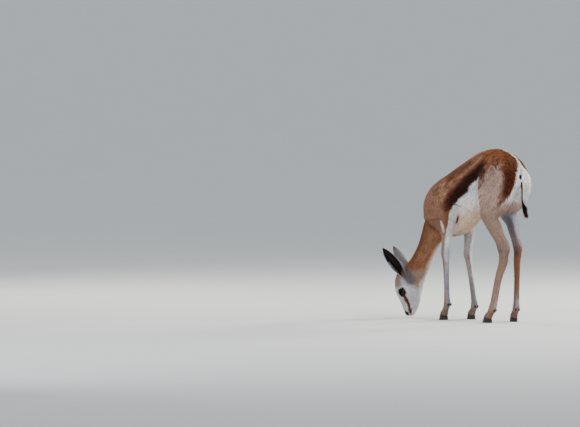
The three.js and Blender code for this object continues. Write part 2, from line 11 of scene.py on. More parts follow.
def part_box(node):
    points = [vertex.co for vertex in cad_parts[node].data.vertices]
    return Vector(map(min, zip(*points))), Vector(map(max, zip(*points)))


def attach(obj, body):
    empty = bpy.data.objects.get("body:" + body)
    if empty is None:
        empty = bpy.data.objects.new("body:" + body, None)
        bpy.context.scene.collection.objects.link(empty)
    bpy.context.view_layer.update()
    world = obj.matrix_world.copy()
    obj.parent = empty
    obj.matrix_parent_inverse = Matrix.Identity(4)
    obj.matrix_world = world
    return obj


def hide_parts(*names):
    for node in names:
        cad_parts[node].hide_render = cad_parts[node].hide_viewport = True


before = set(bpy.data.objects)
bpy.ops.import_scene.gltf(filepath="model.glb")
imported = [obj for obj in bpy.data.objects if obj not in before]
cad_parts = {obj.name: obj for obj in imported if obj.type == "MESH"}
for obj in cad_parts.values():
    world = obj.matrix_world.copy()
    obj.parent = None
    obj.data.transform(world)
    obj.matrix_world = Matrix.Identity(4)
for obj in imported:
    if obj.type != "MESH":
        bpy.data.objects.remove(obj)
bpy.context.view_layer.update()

# Shape: the sizes of the solids, in millimetres. x points to the animal's left, y to its tail and z up.
# A row holds x, y, z, half width, half depth and, in the neck, a turn in degrees. Rows from HEAD to LIP, the
# ears and the eyes are in the head's axes: to its left, to its face and up.
HEAD_YAW = 30.0
HEAD_AXIS = (45.0, -296.0)
TURN = math.radians(HEAD_YAW)
EYE_RADIUS = 12.5
EYE_CENTRE = np.array([19.5, 14.2, 88.0])
EYE_AXIS = np.array([0.93, 0.34, -0.05])
CORONET = 17.0

TRUNK = [
    (0, -186, 384, 40, 56), (0, -156, 378, 48, 86), (0, -112, 393, 55, 106), (0, -52, 437, 63, 96),
    (0, 8, 467, 64, 96), (0, 64, 488, 62, 98), (0, 108, 494, 57, 88), (0, 138, 490, 47, 68),
    (0, 152, 486, 34, 42),
]
BUTTOCK = [(34, 138, 506, 22, 34), (37, 160, 476, 24, 38), (38, 156, 444, 24, 36), (38, 132, 414, 22, 36)]
NECK = [
    (0, -160, 392, 40, 66, 0), (4, -196, 342, 38, 50, 4), (9, -215, 300, 32, 42, 8),
    (18, -234, 242, 28, 37, 14), (28, -254, 196, 27, 37, 20), (37, -273, 160, 28, 40, 26),
    (42, -286, 138, 28, 42, 30),
]
HEAD = [
    (0, -7, 148, 27, 36), (0, 1, 128, 30, 49), (0, 4, 104, 30, 47), (0, 1, 84, 26, 41.5), (0, -3, 62, 19, 35),
    (0, -3.5, 42, 15, 28.5), (0, -3.5, 27, 14, 21.5),
]
BROW = [(20, 20, 104, 9, 12), (22, 20, 90, 10, 13), (17, 17, 74, 8, 10)]
CHEEK = [(14, -20, 118, 13, 20), (15, -22, 96, 13, 19), (11, -18, 74, 10, 14)]
NOSE = [(0, 2, 34, 11, 13), (0, 4, 18, 10.5, 11)]
LIP = [(8, -8, 13, 4, 5), (10, -12, 28, 4, 5), (10, -17, 42, 4, 5)]
FORE_SIZES = [
    (18, 38), (24, 49), (25, 50), (20, 35), (16, 22), (13, 16), (13.5, 16), (10, 12.5), (8, 9.5), (8.5, 10.5),
    (11, 13), (9.5, 10.5), (12, 13.5),
]
HIND_SIZES = [
    (28, 50), (32, 64), (33, 62), (28, 46), (20, 30), (17, 25), (13.5, 21), (12.5, 24), (11.5, 18), (10, 16),
    (8.3, 13), (9, 13), (11.5, 14), (10, 11.5), (12.5, 14),
]
LIMBS = {
    "fore_left": (FORE_SIZES, 4, [
        (22, -150, 436), (35, -165, 410), (41, -174, 372), (43, -140, 335), (45, -116, 300), (45, -120, 252),
        (45, -122, 226), (45, -119, 200), (45, -116, 140), (45, -114, 78), (45, -112, 58), (45, -119, 38),
        (46, -126, 21)]),
    "fore_right": (FORE_SIZES, -4, [
        (-22, -150, 436), (-35, -162, 410), (-41, -168, 372), (-43, -130, 335), (-44, -98, 302),
        (-44, -101, 250), (-44, -103, 222), (-44, -98, 196), (-44, -87, 140), (-45, -75, 72), (-45, -72, 49),
        (-45, -78, 33), (-46, -86, 21)]),
    "hind_left": (HIND_SIZES, 18, [
        (33, 118, 508), (35, 110, 472), (38, 102, 430), (42, 92, 386), (48, 104, 347), (50, 125, 316),
        (50, 147, 284), (47, 159, 256), (47, 160, 234), (47, 157, 205), (48, 135, 149), (50, 117, 70),
        (51, 110, 47), (52, 102, 33), (54, 94, 21)]),
    "hind_right": (HIND_SIZES, -18, [
        (-33, 118, 508), (-35, 110, 472), (-38, 98, 430), (-44, 86, 388), (-49, 101, 347), (-48, 112, 316),
        (-46, 124, 284), (-44, 136, 256), (-44, 137, 234), (-44, 133, 205), (-46, 131, 145), (-48, 126, 68),
        (-49, 124, 47), (-50, 118, 33), (-52, 111, 21)]),
}
TAIL = [
    (0, 170, 506, 9, 9), (3, 190, 499, 7, 7), (6, 203, 482, 5, 5), (8, 208, 450, 3.6, 3.6),
    (8, 209, 420, 3.4, 3.4), (6, 212, 398, 3.8, 3.8), (3, 216, 378, 2.6, 2.6), (1, 219, 366, 1.4, 1.4),
]
EARS = {
    "left": ((20, -5, 130), (69, 76, 241), (0.97, 0.22, 0)),
    "right": ((-20, -12, 130), (-69, 77, 241), (-0.7, 0.72, 0)),
}
# An ear's roll from root to tip: its radius and half its angle in degrees.
EAR_ROLLS = [(11.5, 165), (12.5, 150), (15.5, 124), (19, 102), (20, 88), (18.5, 78), (13, 68), (2.2, 55)]
EAR_DEEP = 1.3
EAR_BOW = 3.0
MOUTH = [(-8, -4), (-9, 14), (-12, 30), (-17, 43)]

# Sizes of the skin's own forms, in millimetres and degrees, in the head's axes.
NOSTRIL = np.array([6.4, 13.2, 14.5])
NOSTRIL_HALF = np.array([1.9, 4.2, 5.0])
NOSTRIL_TURN = math.radians(38)
LID_SLANT = math.radians(12)
LID_RISE = 8.7
LID_REACH = 12.2
LID_POWER = 1.8
LASH_RISE = 8.9


def unit(v):
    v = np.asarray(v, float)
    return v / np.maximum(np.linalg.norm(v, axis=-1, keepdims=True), 1e-9)


def smooth(low, high, v):
    """A soft step: 0 at low and beyond, 1 at high and beyond."""
    t = np.clip((np.asarray(v, float) - low) / (high - low), 0, 1)
    return t * t * (3 - 2 * t)


def bell(v, width):
    return np.exp(-((v / width) ** 2))


def head_way(v):
    """A direction in the head's axes, to its left, to its face and up, as a direction of the body."""
    v = np.asarray(v, float)
    s, f, u = v[..., 0], v[..., 1], v[..., 2]
    c, n = math.cos(TURN), math.sin(TURN)
    return np.stack([s * c + f * n, s * n - f * c, u], -1)


def head_point(v):
    return head_way(v) + np.array([HEAD_AXIS[0], HEAD_AXIS[1], 0.0])


def to_head(p):
    """Points of the body in the head's axes."""
    dx, dy = p[..., 0] - HEAD_AXIS[0], p[..., 1] - HEAD_AXIS[1]
    c, n = math.cos(TURN), math.sin(TURN)
    return np.stack([dx * c + dy * n, dx * n - dy * c, p[..., 2]], -1)


def foot_way(yaw, v):
    """A direction in a limb's axes, to its left, to its toe and up."""
    turn = math.radians(yaw)
    side, front, up = v
    return np.array([
        side * math.cos(turn) + front * math.sin(turn),
        side * math.sin(turn) - front * math.cos(turn),
        up,
    ])


def row_at(rows, t):
    """A smooth curve through rows of numbers: the row at t, which counts rows from 0."""
    rows = np.asarray(rows, float)
    last = len(rows) - 1
    i = min(int(t), last - 1)
    s = t - i
    a, b, c, d = rows[max(i - 1, 0)], rows[i], rows[i + 1], rows[min(i + 2, last)]
    slope_in, slope_out, rise = (c - a) / 2, (d - b) / 2, c - b
    cubic = slope_in + slope_out - 2 * rise
    square = 3 * rise - 2 * slope_in - slope_out
    return b + s * (slope_in + s * (square + s * cubic))


def mirrored(rows):
    return [(-r[0],) + tuple(r[1:]) for r in rows]


def straight(rows):
    return [tuple(r) + (0,) for r in rows]


def on_head(rows):
    return [tuple(head_point(r[:3])) + (r[3], r[4], HEAD_YAW) for r in rows]


def limb_rows(limb):
    sizes, yaw, places = limb
    return [tuple(p) + tuple(s) + (yaw,) for p, s in zip(places, sizes)]


class Chain:
    """Elliptic lengths through stations of x, y, z, half width, half depth and turn in degrees."""

    STEPS = 3

    def __init__(self, rows, blend, lie, name):
        count = (len(rows) - 1) * self.STEPS
        self.stations = np.array([row_at(rows, i / self.STEPS) for i in range(count + 1)], np.float32)
        self.blend = blend
        self.lie = lie
        self.name = name
        self.middle = self.stations[:, :3].mean(0)
        spread = np.linalg.norm(self.stations[:, :3] - self.middle, axis=1)
        self.reach = float((spread + self.stations[:, 3:5].max(1)).max())

    def distance(self, p, limit, way=None):
        """About how far each point lies from the chain, where that is under limit. Fills way with the lie."""
        best = limit.copy()
        for a, b in zip(self.stations[:-1], self.stations[1:]):
            e = b[:3] - a[:3]
            m = (a[:3] + b[:3]) / 2
            gap = best + float(np.linalg.norm(e)) / 2 + max(a[3], a[4], b[3], b[4])
            near = np.nonzero((((p - m) ** 2).sum(1) < np.maximum(gap, 0) ** 2) | (gap > 1e6))[0]
            if not len(near):
                continue
            q = p[near] - a[:3]
            t = np.clip(q @ e / float(e @ e), 0, 1)
            q = q - t[:, None] * e
            w = a[3] + (b[3] - a[3]) * t
            d = a[4] + (b[4] - a[4]) * t
            turn = np.radians(a[5] + (b[5] - a[5]) * t)
            across = q[:, 0] * np.cos(turn) + q[:, 1] * np.sin(turn)
            rest = np.maximum((q * q).sum(1) - across * across, 0)
            across = across * across
            k0 = np.sqrt(across / (w * w) + rest / (d * d))
            k1 = np.sqrt(across / w**4 + rest / d**4)
            v = np.where(k1 < 1e-9, -np.minimum(w, d), k0 * (k0 - 1) / np.maximum(k1, 1e-9))
            closer = v < best[near]
            if way is not None:
                way[near[closer]] = e / np.linalg.norm(e) * self.lie
            best[near[closer]] = v[closer]
        return best


CORE = [
    Chain(straight(TRUNK), 0, 1, "trunk"),
    Chain(straight(BUTTOCK), 26, 1, "rump"),
    Chain(straight(mirrored(BUTTOCK)), 26, 1, "rump"),
    Chain(NECK, 26, -1, "neck"),
]
for rows, blend in [(HEAD, 14), (BROW, 10), (CHEEK, 12), (NOSE, 5), (LIP, 4)]:
    CORE.append(Chain(on_head(rows), blend, -1, "head"))
    if rows not in (HEAD, NOSE):
        CORE.append(Chain(on_head(mirrored(rows)), blend, -1, "head"))
BODY = CORE + [Chain(limb_rows(limb), 22, 1, name) for name, limb in LIMBS.items()]


def join(a, b, blend):
    """The nearer of two distances, rounded over a width where they meet."""
    mix = np.maximum(blend - np.abs(a - b), 0)
    return np.minimum(a, b) - mix * mix / (4 * blend)


def body_distance(p):
    """About how far each point lies from the surface of the solids."""
    p = np.asarray(p, np.float32)
    value = np.full(len(p), 1e7, np.float32)
    for part in BODY:
        far = np.linalg.norm(p - part.middle, axis=1) - part.reach
        near = np.nonzero(~((far > value + part.blend) & (far > part.blend)))[0]
        if not len(near):
            continue
        v = value[near]
        other = part.distance(p[near], v + part.blend + 1e-3)
        value[near] = join(v, other, part.blend) if part.blend else np.minimum(v, other)
    return value


def line_distance(points, a, b):
    """How far points of a plane lie from an open line through given points."""
    best = np.full(len(a), 1e9)
    for (a0, b0), (a1, b1) in zip(points[:-1], points[1:]):
        ea, eb = a1 - a0, b1 - b0
        t = np.clip(((a - a0) * ea + (b - b0) * eb) / (ea * ea + eb * eb), 0, 1)
        best = np.minimum(best, np.hypot(a - a0 - ea * t, b - b0 - eb * t))
    return best


def area_depth(points, a, b):
    """How deep points of a plane lie inside an outline, negative outside."""
    ring = list(points) + [points[0]]
    inside = np.zeros(len(a), bool)
    for (a0, b0), (a1, b1) in zip(ring[:-1], ring[1:]):
        if b0 == b1:
            continue
        crosses = ((b0 > b) != (b1 > b)) & (a < (a1 - a0) * (b - b0) / (b1 - b0) + a0)
        inside ^= crosses
    return np.where(inside, 1, -1) * line_distance(ring, a, b)


CORNERS = [(a, b, c) for a in (0, 1) for b in (0, 1) for c in (0, 1)]
CORNER_FACTORS = (73856093, 19349663, 83492791)


def noise(p, size, seed):
    """Smooth random values from -1 to 1 over lumps of about the given size."""
    q = np.asarray(p, float) / size + 1000.0 + seed * 7.31
    cell = np.floor(q).astype(np.int64)
    part = q - cell
    part = part * part * (3 - 2 * part)
    total = np.zeros(len(q))
    for corner in CORNERS:
        h = np.full(len(q), seed * 2654435)
        weight = np.ones(len(q))
        for axis, step in enumerate(corner):
            h ^= (cell[:, axis] + step) * CORNER_FACTORS[axis]
            weight *= part[:, axis] if step else 1 - part[:, axis]
        h = ((h ^ (h >> 13)) * 1274126177) & 0xFFFFFFFF
        h = ((h ^ (h >> 16)) * 2246822519) & 0xFFFFFFFF
        total += weight * (h / 0x7FFFFFFF - 1)
    return total


# The photograph's view, from 45 degrees behind the animal's left side. PIXEL is the millimetres to one of its
# pixels, and ALONG_PIXEL the same along the body. The row is that of the floor, and the columns are those of
# u = 0 and of the head's axis. VIEW_SINK and FACE_DROP allow for the camera's look down, and FACE_FRONT and
# FACE_SIDE for the head's turn of 15 degrees out of the view.
PIXEL = 3.4
ALONG_PIXEL = 4.808
FLOOR_ROW = 320.5
BODY_COLUMN = 480
FACE_COLUMN = 409.08
FACE_DROP = 10.8
VIEW_SINK = 0.043
FACE_FRONT, FACE_SIDE = 0.966, 0.259


def side_place(p):
    """Where points lie as seen from the side: a place along the body, u, and a height, w."""
    x, y, z = np.abs(p[:, 0]), p[:, 1], p[:, 2]
    return y - x, z - VIEW_SINK * (x + y)


def seen(points):
    """Places in that side view from the photograph's own places."""
    return [((a - BODY_COLUMN) * ALONG_PIXEL, (FLOOR_ROW - b) * PIXEL) for a, b in points]


def face_place(h):
    """The same for the head: a place towards the face, and a height."""
    return FACE_FRONT * h[:, 1] + FACE_SIDE * np.abs(h[:, 0]), h[:, 2]


def face_seen(points):
    return [((FACE_COLUMN - a) * PIXEL, (FLOOR_ROW - b) * PIXEL - FACE_DROP) for a, b in points]


THIGH_EDGE = seen([(478, 178), (477, 184), (477, 192), (477.6, 199), (479, 205), (481, 211)])
NECK_CREASE = seen([(424, 219.6), (428, 220.6), (433, 219.6), (437, 219.0), (441, 220.4)])
ELBOW_FOLD = seen([(453, 204), (457, 206), (463, 209)])
ARMPIT_FOLD = seen([(458.6, 215), (457, 219), (455.6, 224)])
# Folds of the front: a line, how far above it, how deep, how wide, and whether only the outer side has it.
FRONT_FOLDS = [
    (NECK_CREASE, 0, 3.0, 5, False), (NECK_CREASE, 10, -2.4, 8, False),
    (ELBOW_FOLD, 0, 1.6, 3.5, True), (ELBOW_FOLD, -7, -1.2, 5, True), (ARMPIT_FOLD, 0, 5.0, 4.5, True),
]


def left_half(h):
    """Points in the head's axes, with those of the right half mirrored to the left one."""
    return np.stack([np.abs(h[:, 0]), h[:, 1], h[:, 2]], -1)


def eye_frame():
    """The eye's own axes: out, along the lids and across them."""
    axis = unit(EYE_AXIS)
    up = unit(np.array([0, 0, 1.0]) - axis * axis[2])
    across = np.cross(up, axis)
    long = up * math.cos(LID_SLANT) - across * math.sin(LID_SLANT)
    short = across * math.cos(LID_SLANT) + up * math.sin(LID_SLANT)
    return axis, long, short


def eye_places(h):
    """How far points lie out of the eye, across its lids, outside its opening and from its centre."""
    axis, long, short = eye_frame()
    q = left_half(h) - EYE_CENTRE
    out, along, over = q @ axis, q @ long, q @ short
    opening = np.abs(over) - LID_RISE * (1 - np.clip(np.abs(along) / LID_REACH, 0, 2) ** LID_POWER)
    return out, over, opening, np.linalg.norm(q, axis=1)


def coat_depth(p):
    """How far the skin lies inside the solids."""
    legs = smooth(420, 300, p[:, 2]) * smooth(-200, -180, p[:, 1])
    head = smooth(200, 150, p[:, 2]) * smooth(-185, -215, p[:, 1])
    foot = smooth(55, 25, p[:, 2]) * legs
    return 2.0 - 0.9 * head - 1.35 * legs - 0.25 * foot


def centre_at(rows, z):
    """x and y at heights on a line of rows that runs down."""
    return np.interp(-z, -rows[:, 2], rows[:, 0]), np.interp(-z, -rows[:, 2], rows[:, 1])


def skin_distance(p):
    """Zero on the skin: the solids' shape less the coat, with muscles, folds and the face."""
    p = np.asarray(p, float)
    d = body_distance(p).astype(float)
    d += coat_depth(p)
    u, w = side_place(p)
    outer = smooth(25, 45, np.abs(p[:, 0]))
    rear = (p[:, 1] > -30) & (w > 300)
    d[rear] += (3.2 * bell(line_distance(THIGH_EDGE, u[rear] + 3, w[rear]), 6)
                - 1.6 * bell(line_distance(THIGH_EDGE, u[rear] - 8, w[rear]), 8)) * outer[rear]
    front = (p[:, 1] < -40) & (p[:, 2] > 280)
    if front.any():
        for line, above, depth, wide, outside in FRONT_FOLDS:
            fold = depth * bell(line_distance(line, u[front], w[front] - above), wide)
            d[front] += fold * outer[front] if outside else fold
    for name, (_, yaw, places) in LIMBS.items():
        foot = places[-1]
        aside, behind = np.abs(p[:, 0] - foot[0]), np.abs(p[:, 1] - foot[1])
        low = np.nonzero((p[:, 2] < 330) & (aside < 60) & (behind < 110))[0]
        low = low[np.sign(p[low, 0]) == np.sign(foot[0])]
        if len(low):
            d[low] = limb_forms(p[low], d[low], yaw, np.array(places, float), name.startswith("hind"))
    near = np.nonzero((p[:, 2] < 200) & (p[:, 1] < -195))[0]
    if len(near):
        d[near] = face(to_head(p[near]), d[near])
    return d


def limb_forms(q, d, yaw, places, hind):
    """Adds the groove before the tendon, the hollow over the hock and the cut at the hoof near one limb."""
    x, y = centre_at(places, q[:, 2])
    toe, left = foot_way(yaw, (0, 1, 0)), foot_way(yaw, (1, 0, 0))
    ahead = (q[:, 0] - x) * toe[0] + (q[:, 1] - y) * toe[1]
    aside = np.abs((q[:, 0] - x) * left[0] + (q[:, 1] - y) * left[1])
    band = smooth(55, 75, q[:, 2]) * smooth(215, 185, q[:, 2])
    d = d + 1.1 * band * bell(ahead + 3.5, 2.4) * smooth(3, 6, aside)
    if hind:
        hock = smooth(225, 245, q[:, 2]) * smooth(325, 295, q[:, 2])
        d += 2.6 * hock * bell(ahead + 7, 5) * smooth(4, 8, aside)
    normal = unit(foot_way(yaw, (0, -0.4, 0.92)))
    above = (q - np.array([places[-1][0], places[-1][1], CORONET])) @ normal
    return np.where(q[:, 2] < 60, np.maximum(d, 0.3 - above), d)


# Cheek bone, which stands out, then tear groove, temple and jaw, which are sunk: from, to, depth and width.
FACE_FORMS = [
    ((28, 6, 82), (27, -10, 108), -1.6, 6), ((24, 12, 70), (17, 4, 50), 1.5, 4.2),
    ((24, 18, 112), (22, 8, 122), 1.8, 6.5), ((16, -8, 60), (14, -4, 44), 1.2, 6),
]


def cone(h, a, b, ra, rb):
    """How far points lie outside a round form from a to b, with a radius at each end."""
    a, b = np.array(a, float), np.array(b, float)
    e = b - a
    t = np.clip((h - a) @ e / (e @ e), 0, 1)
    return np.linalg.norm(h - a - t[:, None] * e, axis=1) - (ra + (rb - ra) * t)


def face(h, d):
    """Adds the forms of the face to the distances at points in the head's axes."""
    m = left_half(h)
    side = m[:, 0]
    d = join(d, cone(m, (19, -14, 130), (31, 1, 158), 13.5, 8.5), 9)
    out, over, opening, ball = eye_places(h)
    d = join(d, ball - (EYE_RADIUS + 1.3), 4.5)
    close = bell(np.maximum(ball - 16, 0), 6) * (out > 0)
    d -= 0.9 * bell(opening - 0.9, 1.1) * close
    d += 0.8 * bell(opening - 3.8, 1.0) * close * smooth(-6, 2, over)
    d += 0.5 * bell(opening - 3.2, 1.0) * close * smooth(2, -6, over)
    for start, end, depth, wide in FACE_FORMS:
        d += depth * bell(cone(m, start, end, 0, 0), wide)
    # Nostrils, with a wing outside each, and the cleft between them.
    q = m - NOSTRIL
    c, n = math.cos(NOSTRIL_TURN), math.sin(NOSTRIL_TURN)
    q = np.stack([q[:, 0] * c - q[:, 1] * n, q[:, 0] * n + q[:, 1] * c, q[:, 2] * 0.94 + q[:, 0] * 0.34], -1)
    k = np.linalg.norm(q / NOSTRIL_HALF, axis=1)
    d -= 0.9 * bell(k - 1.7, 0.5) * (h[:, 1] > 4)
    d = np.maximum(d, -(k - 1) * NOSTRIL_HALF[0])
    d += 1.0 * bell(side, 0.9) * smooth(6, 9, h[:, 1]) * smooth(20, 14, h[:, 2])
    # The mouth line.
    gap = line_distance(MOUTH, h[:, 1], h[:, 2])
    d += 1.7 * bell(gap, 0.95) - 0.5 * bell(gap - 2.6, 1.4)
    hole = np.maximum(opening + 0.2, 5.5 - out)
    return np.maximum(d, -hole)


def settle(p, function, step):
    """Points moved on to the surface of a distance, in two rounds."""
    p = np.array(p, float)
    for _ in range(2):
        d = function(p)
        slope = np.empty_like(p)
        for k in range(3):
            q = p.copy()
            q[:, k] += step
            slope[:, k] = (function(q) - d) / step
        size = np.maximum((slope * slope).sum(1), 0.09)
        p -= slope * np.clip(d / size, -2, 2)[:, None]
    return p


def net(function, low, high, step, keep, coarse=4):
    """A mesh of four-sided faces on the surface of a distance, inside a box, where keep holds."""
    low = np.array(low, float)
    cells = np.ceil((np.array(high) - low) / (step * coarse)).astype(int)
    size = cells * coarse + 1
    grid = np.stack(np.meshgrid(*[np.arange(n) for n in cells], indexing="ij"), -1).reshape(-1, 3)
    # Whether cells far from the surface are inside comes from a coarse grid.
    value = function(low + (grid + 0.5) * step * coarse)
    field = value.reshape(cells).astype(np.float32)
    for axis in range(3):
        field = np.repeat(field, coarse, axis)
    field = np.pad(field, ((0, 1), (0, 1), (0, 1)), mode="edge")
    near = grid[np.abs(value) < step * coarse * 1.35 + 2] * coarse
    mask = np.zeros(size, bool)
    for a, b, c in np.ndindex(coarse + 1, coarse + 1, coarse + 1):
        mask[near[:, 0] + a, near[:, 1] + b, near[:, 2] + c] = True
    spots = np.argwhere(mask)
    field[mask] = function(low + spots * step)
    sign = field < 0
    count = np.zeros(np.array(size) - 1, np.int8)
    for a, b, c in CORNERS:
        count += sign[a:size[0] - 1 + a, b:size[1] - 1 + b, c:size[2] - 1 + c]
    active = np.argwhere((count > 0) & (count < 8))
    active = active[keep(low + (active + 0.5) * step)]
    index = np.full(count.shape, -1, np.int32)
    index[active[:, 0], active[:, 1], active[:, 2]] = np.arange(len(active))
    total = np.zeros((len(active), 3))
    hits = np.zeros(len(active))
    for a in CORNERS:
        for axis in range(3):
            if a[axis]:
                continue
            b = tuple(v + (k == axis) for k, v in enumerate(a))
            fa = field[tuple(active[:, k] + a[k] for k in range(3))]
            fb = field[tuple(active[:, k] + b[k] for k in range(3))]
            cross = (fa < 0) != (fb < 0)
            t = np.where(cross, fa / np.where(cross, fa - fb, 1), 0)
            spot = np.array(a, float) + np.zeros((len(active), 1))
            spot[:, axis] += t
            total += spot * cross[:, None]
            hits += cross
    points = low + (active + total / hits[:, None]) * step
    faces = []
    for axis in range(3):
        one, two = [(1, 2), (2, 0), (0, 1)][axis]
        ahead = [slice(None)] * 3
        behind = [slice(None)] * 3
        ahead[axis], behind[axis] = slice(1, None), slice(None, -1)
        change = np.argwhere(sign[tuple(ahead)] != sign[tuple(behind)])
        change = change[(change[:, one] > 0) & (change[:, two] > 0)]
        change = change[(change[:, one] < size[one] - 1) & (change[:, two] < size[two] - 1)]
        ring = []
        for d1, d2 in [(1, 1), (0, 1), (0, 0), (1, 0)]:
            q = change.copy()
            q[:, one] -= d1
            q[:, two] -= d2
            ring.append(index[q[:, 0], q[:, 1], q[:, 2]])
        ring = np.stack(ring, -1)
        ok = (ring >= 0).all(1)
        inside = sign[change[:, 0], change[:, 1], change[:, 2]][ok]
        ring = ring[ok]
        ring[~inside] = ring[~inside][:, ::-1]
        faces.append(ring)
    return points, np.concatenate(faces)


def rim(faces):
    """The longest open edge of a mesh of faces, as a ring of points in order."""
    edges = {}
    for f in faces.tolist():
        for a, b in zip(f, f[1:] + f[:1]):
            if (b, a) in edges:
                del edges[(b, a)]
            else:
                edges[(a, b)] = True
    follow = {}
    for a, b in edges:
        follow.setdefault(a, []).append(b)
    rings = []
    while follow:
        start = next(iter(follow))
        ring = [start]
        while True:
            nexts = follow.get(ring[-1])
            if not nexts:
                break
            b = nexts.pop()
            if not nexts:
                del follow[ring[-1]]
            if b == start:
                break
            ring.append(b)
        rings.append(ring)
    return max(rings, key=len)


def zipper(points, one, two):
    """Triangles between two rings of points round the same neck, one running against the other."""
    two = two[::-1]
    middle = points[one].mean(0)

    def angles(ring):
        q = points[ring] - middle
        return np.arctan2(q[:, 1], q[:, 0])

    a, b = angles(one), angles(two)
    sense = np.sign(np.median(np.diff(np.unwrap(a))))
    start = int(np.argmin(np.abs(np.angle(np.exp(1j * (b - a[0]))))))
    two = two[start:] + two[:start]
    one, two = one + one[:1], two + two[:1]
    a = np.unwrap(angles(one)) * sense
    b = np.unwrap(angles(two)) * sense
    b += 2 * math.pi * round(float(a[0] - b[0]) / (2 * math.pi))
    i = j = 0
    faces = []
    while i < len(one) - 1 or j < len(two) - 1:
        if j == len(two) - 1 or (i < len(one) - 1 and a[i + 1] <= b[j + 1]):
            faces.append((one[i + 1], one[i], two[j]))
            i += 1
        else:
            faces.append((one[i], two[j], two[j + 1]))
            j += 1
    return faces


# The nets' steps and boxes. The head has a finer net, below PARTING and before HEAD_BACK.
BODY_STEP = 3.4
HEAD_STEP = 1.1
PARTING = 172.0
HEAD_BACK = -190.0
BODY_BOX = (-112, -300, -4), (116, 226, 592)
HEAD_BOX = (-10, -352, -8), (112, -196, PARTING + 2)


def on_head_side(p):
    return (p[:, 2] < PARTING) & (p[:, 1] < HEAD_BACK)


def skin_mesh():
    """Points and faces of the skin: the body's net and a finer one for the head, joined round the neck."""
    body, body_faces = net(skin_distance, *BODY_BOX, BODY_STEP, lambda p: ~on_head_side(p))
    head, head_faces = net(skin_distance, *HEAD_BOX, HEAD_STEP, on_head_side)
    points = np.concatenate([settle(body, skin_distance, 0.4), settle(head, skin_distance, 0.3)])
    head_faces = head_faces + len(body)
    bridge = zipper(points, rim(body_faces), rim(head_faces))
    return points, body_faces.tolist() + head_faces.tolist() + [list(f) for f in bridge]


def srgb(r, g, b):
    c = np.array([r, g, b], float) / 255
    return np.where(c <= 0.04045, c / 12.92, ((c + 0.055) / 1.055) ** 2.4)


# Colours of the coat, and of the painted shade laid on it.
HUES = {
    "back": srgb(118, 70, 42),
    "streak": srgb(160, 118, 92),
    "shoulder": srgb(144, 104, 82),
    "stripe": srgb(40, 13, 5),
    "fringe": srgb(84, 38, 18),
    "white": srgb(244, 240, 236),
    "cream": srgb(228, 190, 156),
    "thigh": srgb(178, 146, 132),
    "hip": srgb(120, 73, 46),
    "rufous": srgb(70, 29, 12),
    "neck": srgb(146, 102, 76),
    "crest": srgb(118, 70, 44),
    "leg": srgb(158, 130, 114),
    "inner": srgb(166, 152, 148),
    "shade": srgb(106, 104, 112),
    "cannon": srgb(140, 98, 74),
    "cheek": srgb(204, 200, 206),
    "forehead": srgb(142, 112, 94),
    # Painted shade round the root of each ear, blue grey.
    "ear_root_shade": srgb(88, 87, 94),
    "ear_back": srgb(116, 112, 114),
    "tear": srgb(104, 56, 28),
    "dark": srgb(24, 17, 14),
    "black": srgb(12, 10, 9),
    "grey": srgb(112, 104, 102),
    # Painted bluish shade, as white hair shows in shade under the sky.
    "sky_shade": srgb(186, 192, 210),
    "iris": srgb(30, 17, 10),
}

# Outlines and lines of the markings, in the photograph's pixels.
STRIPE = seen([
    (484, 165), (481.4, 164.6), (477, 167), (470.8, 171.6), (464.5, 176.4), (458.3, 183.2), (452, 190.8),
    (446.5, 197.5), (441, 205), (445, 208.5), (451.5, 206.5), (455.5, 203.8), (459.5, 199.2), (465.8, 194.6),
    (468.2, 187), (472, 182.5), (476, 180.6), (478.9, 175.5), (484, 169)])
BELLY = seen([
    (481, 172), (475.8, 180.0), (470.3, 183.3), (468.0, 186.5), (465.6, 192.0), (462.5, 195.0),
    (458.4, 198.2), (454.8, 202.8), (451.6, 205.2), (449.8, 210), (448.2, 215), (447.0, 225), (440, 262),
    (500, 262), (483, 214), (480.5, 205), (478.5, 196), (477.3, 186), (478.8, 178)])
THIGH = seen([
    (478, 184), (481.5, 180), (486, 174), (491.5, 169.5), (498, 166.5), (502.5, 172), (503, 181), (502, 190),
    (499.5, 199), (496, 208), (494, 219), (483, 219), (479.5, 204), (477.5, 190)])
RUFOUS = seen([
    (499, 154), (514, 155), (514.6, 160), (513.6, 166), (516, 171), (514, 177), (513, 185), (509, 194),
    (504, 201), (500, 208), (497, 213), (494.5, 213), (498, 206), (502, 197), (504.5, 187), (504.5, 177),
    (501, 166)])
RUMP = seen([
    (519, 153), (518, 158), (516.4, 160.5), (516.6, 167), (514.8, 173), (514.8, 180), (513.6, 185),
    (509.6, 194), (505, 201), (501, 208.5), (499, 216), (560, 232), (560, 130), (524, 146)])
STREAK_LINE = seen([(441, 196), (447, 188), (456, 181.5), (464.5, 172.8), (472, 165), (480, 158)])
BRISKET = seen([(440.1, 219.6), (441.3, 220), (443.2, 227), (443.8, 231.5), (442.2, 230), (440.2, 224)])
SPOT = seen([(519.6, 176.8)])[0]
# Where a painted bluish sheen lies on the elbow.
ELBOW_SHEEN = seen([(454.5, 207.5), (451.5, 214), (450.6, 221), (449.6, 227)])
DARK_BACK = seen([(449, 180), (455, 174.5), (462, 168.5), (470, 163.5)])
# Where painted shade lies in the elbow's crease and in the armpit.
ELBOW_LINE = seen([(452.6, 203.0), (456.5, 205.0), (463.6, 208.6)])
ARMPIT_LINE = seen([(457.9, 216.8), (457.2, 219.6), (456.2, 223.5)])
NEAR_HOLLOW = seen([(493, 205), (504.5, 205.5), (505, 210), (500, 216), (494, 217)])
FAR_EDGE = seen([(520.2, 200.5), (518.6, 204), (516.8, 211)])
TEAR = face_seen([(404.0, 295.6), (406.0, 299.6), (408.2, 303.8), (409.2, 308.0), (410.2, 311.6)])

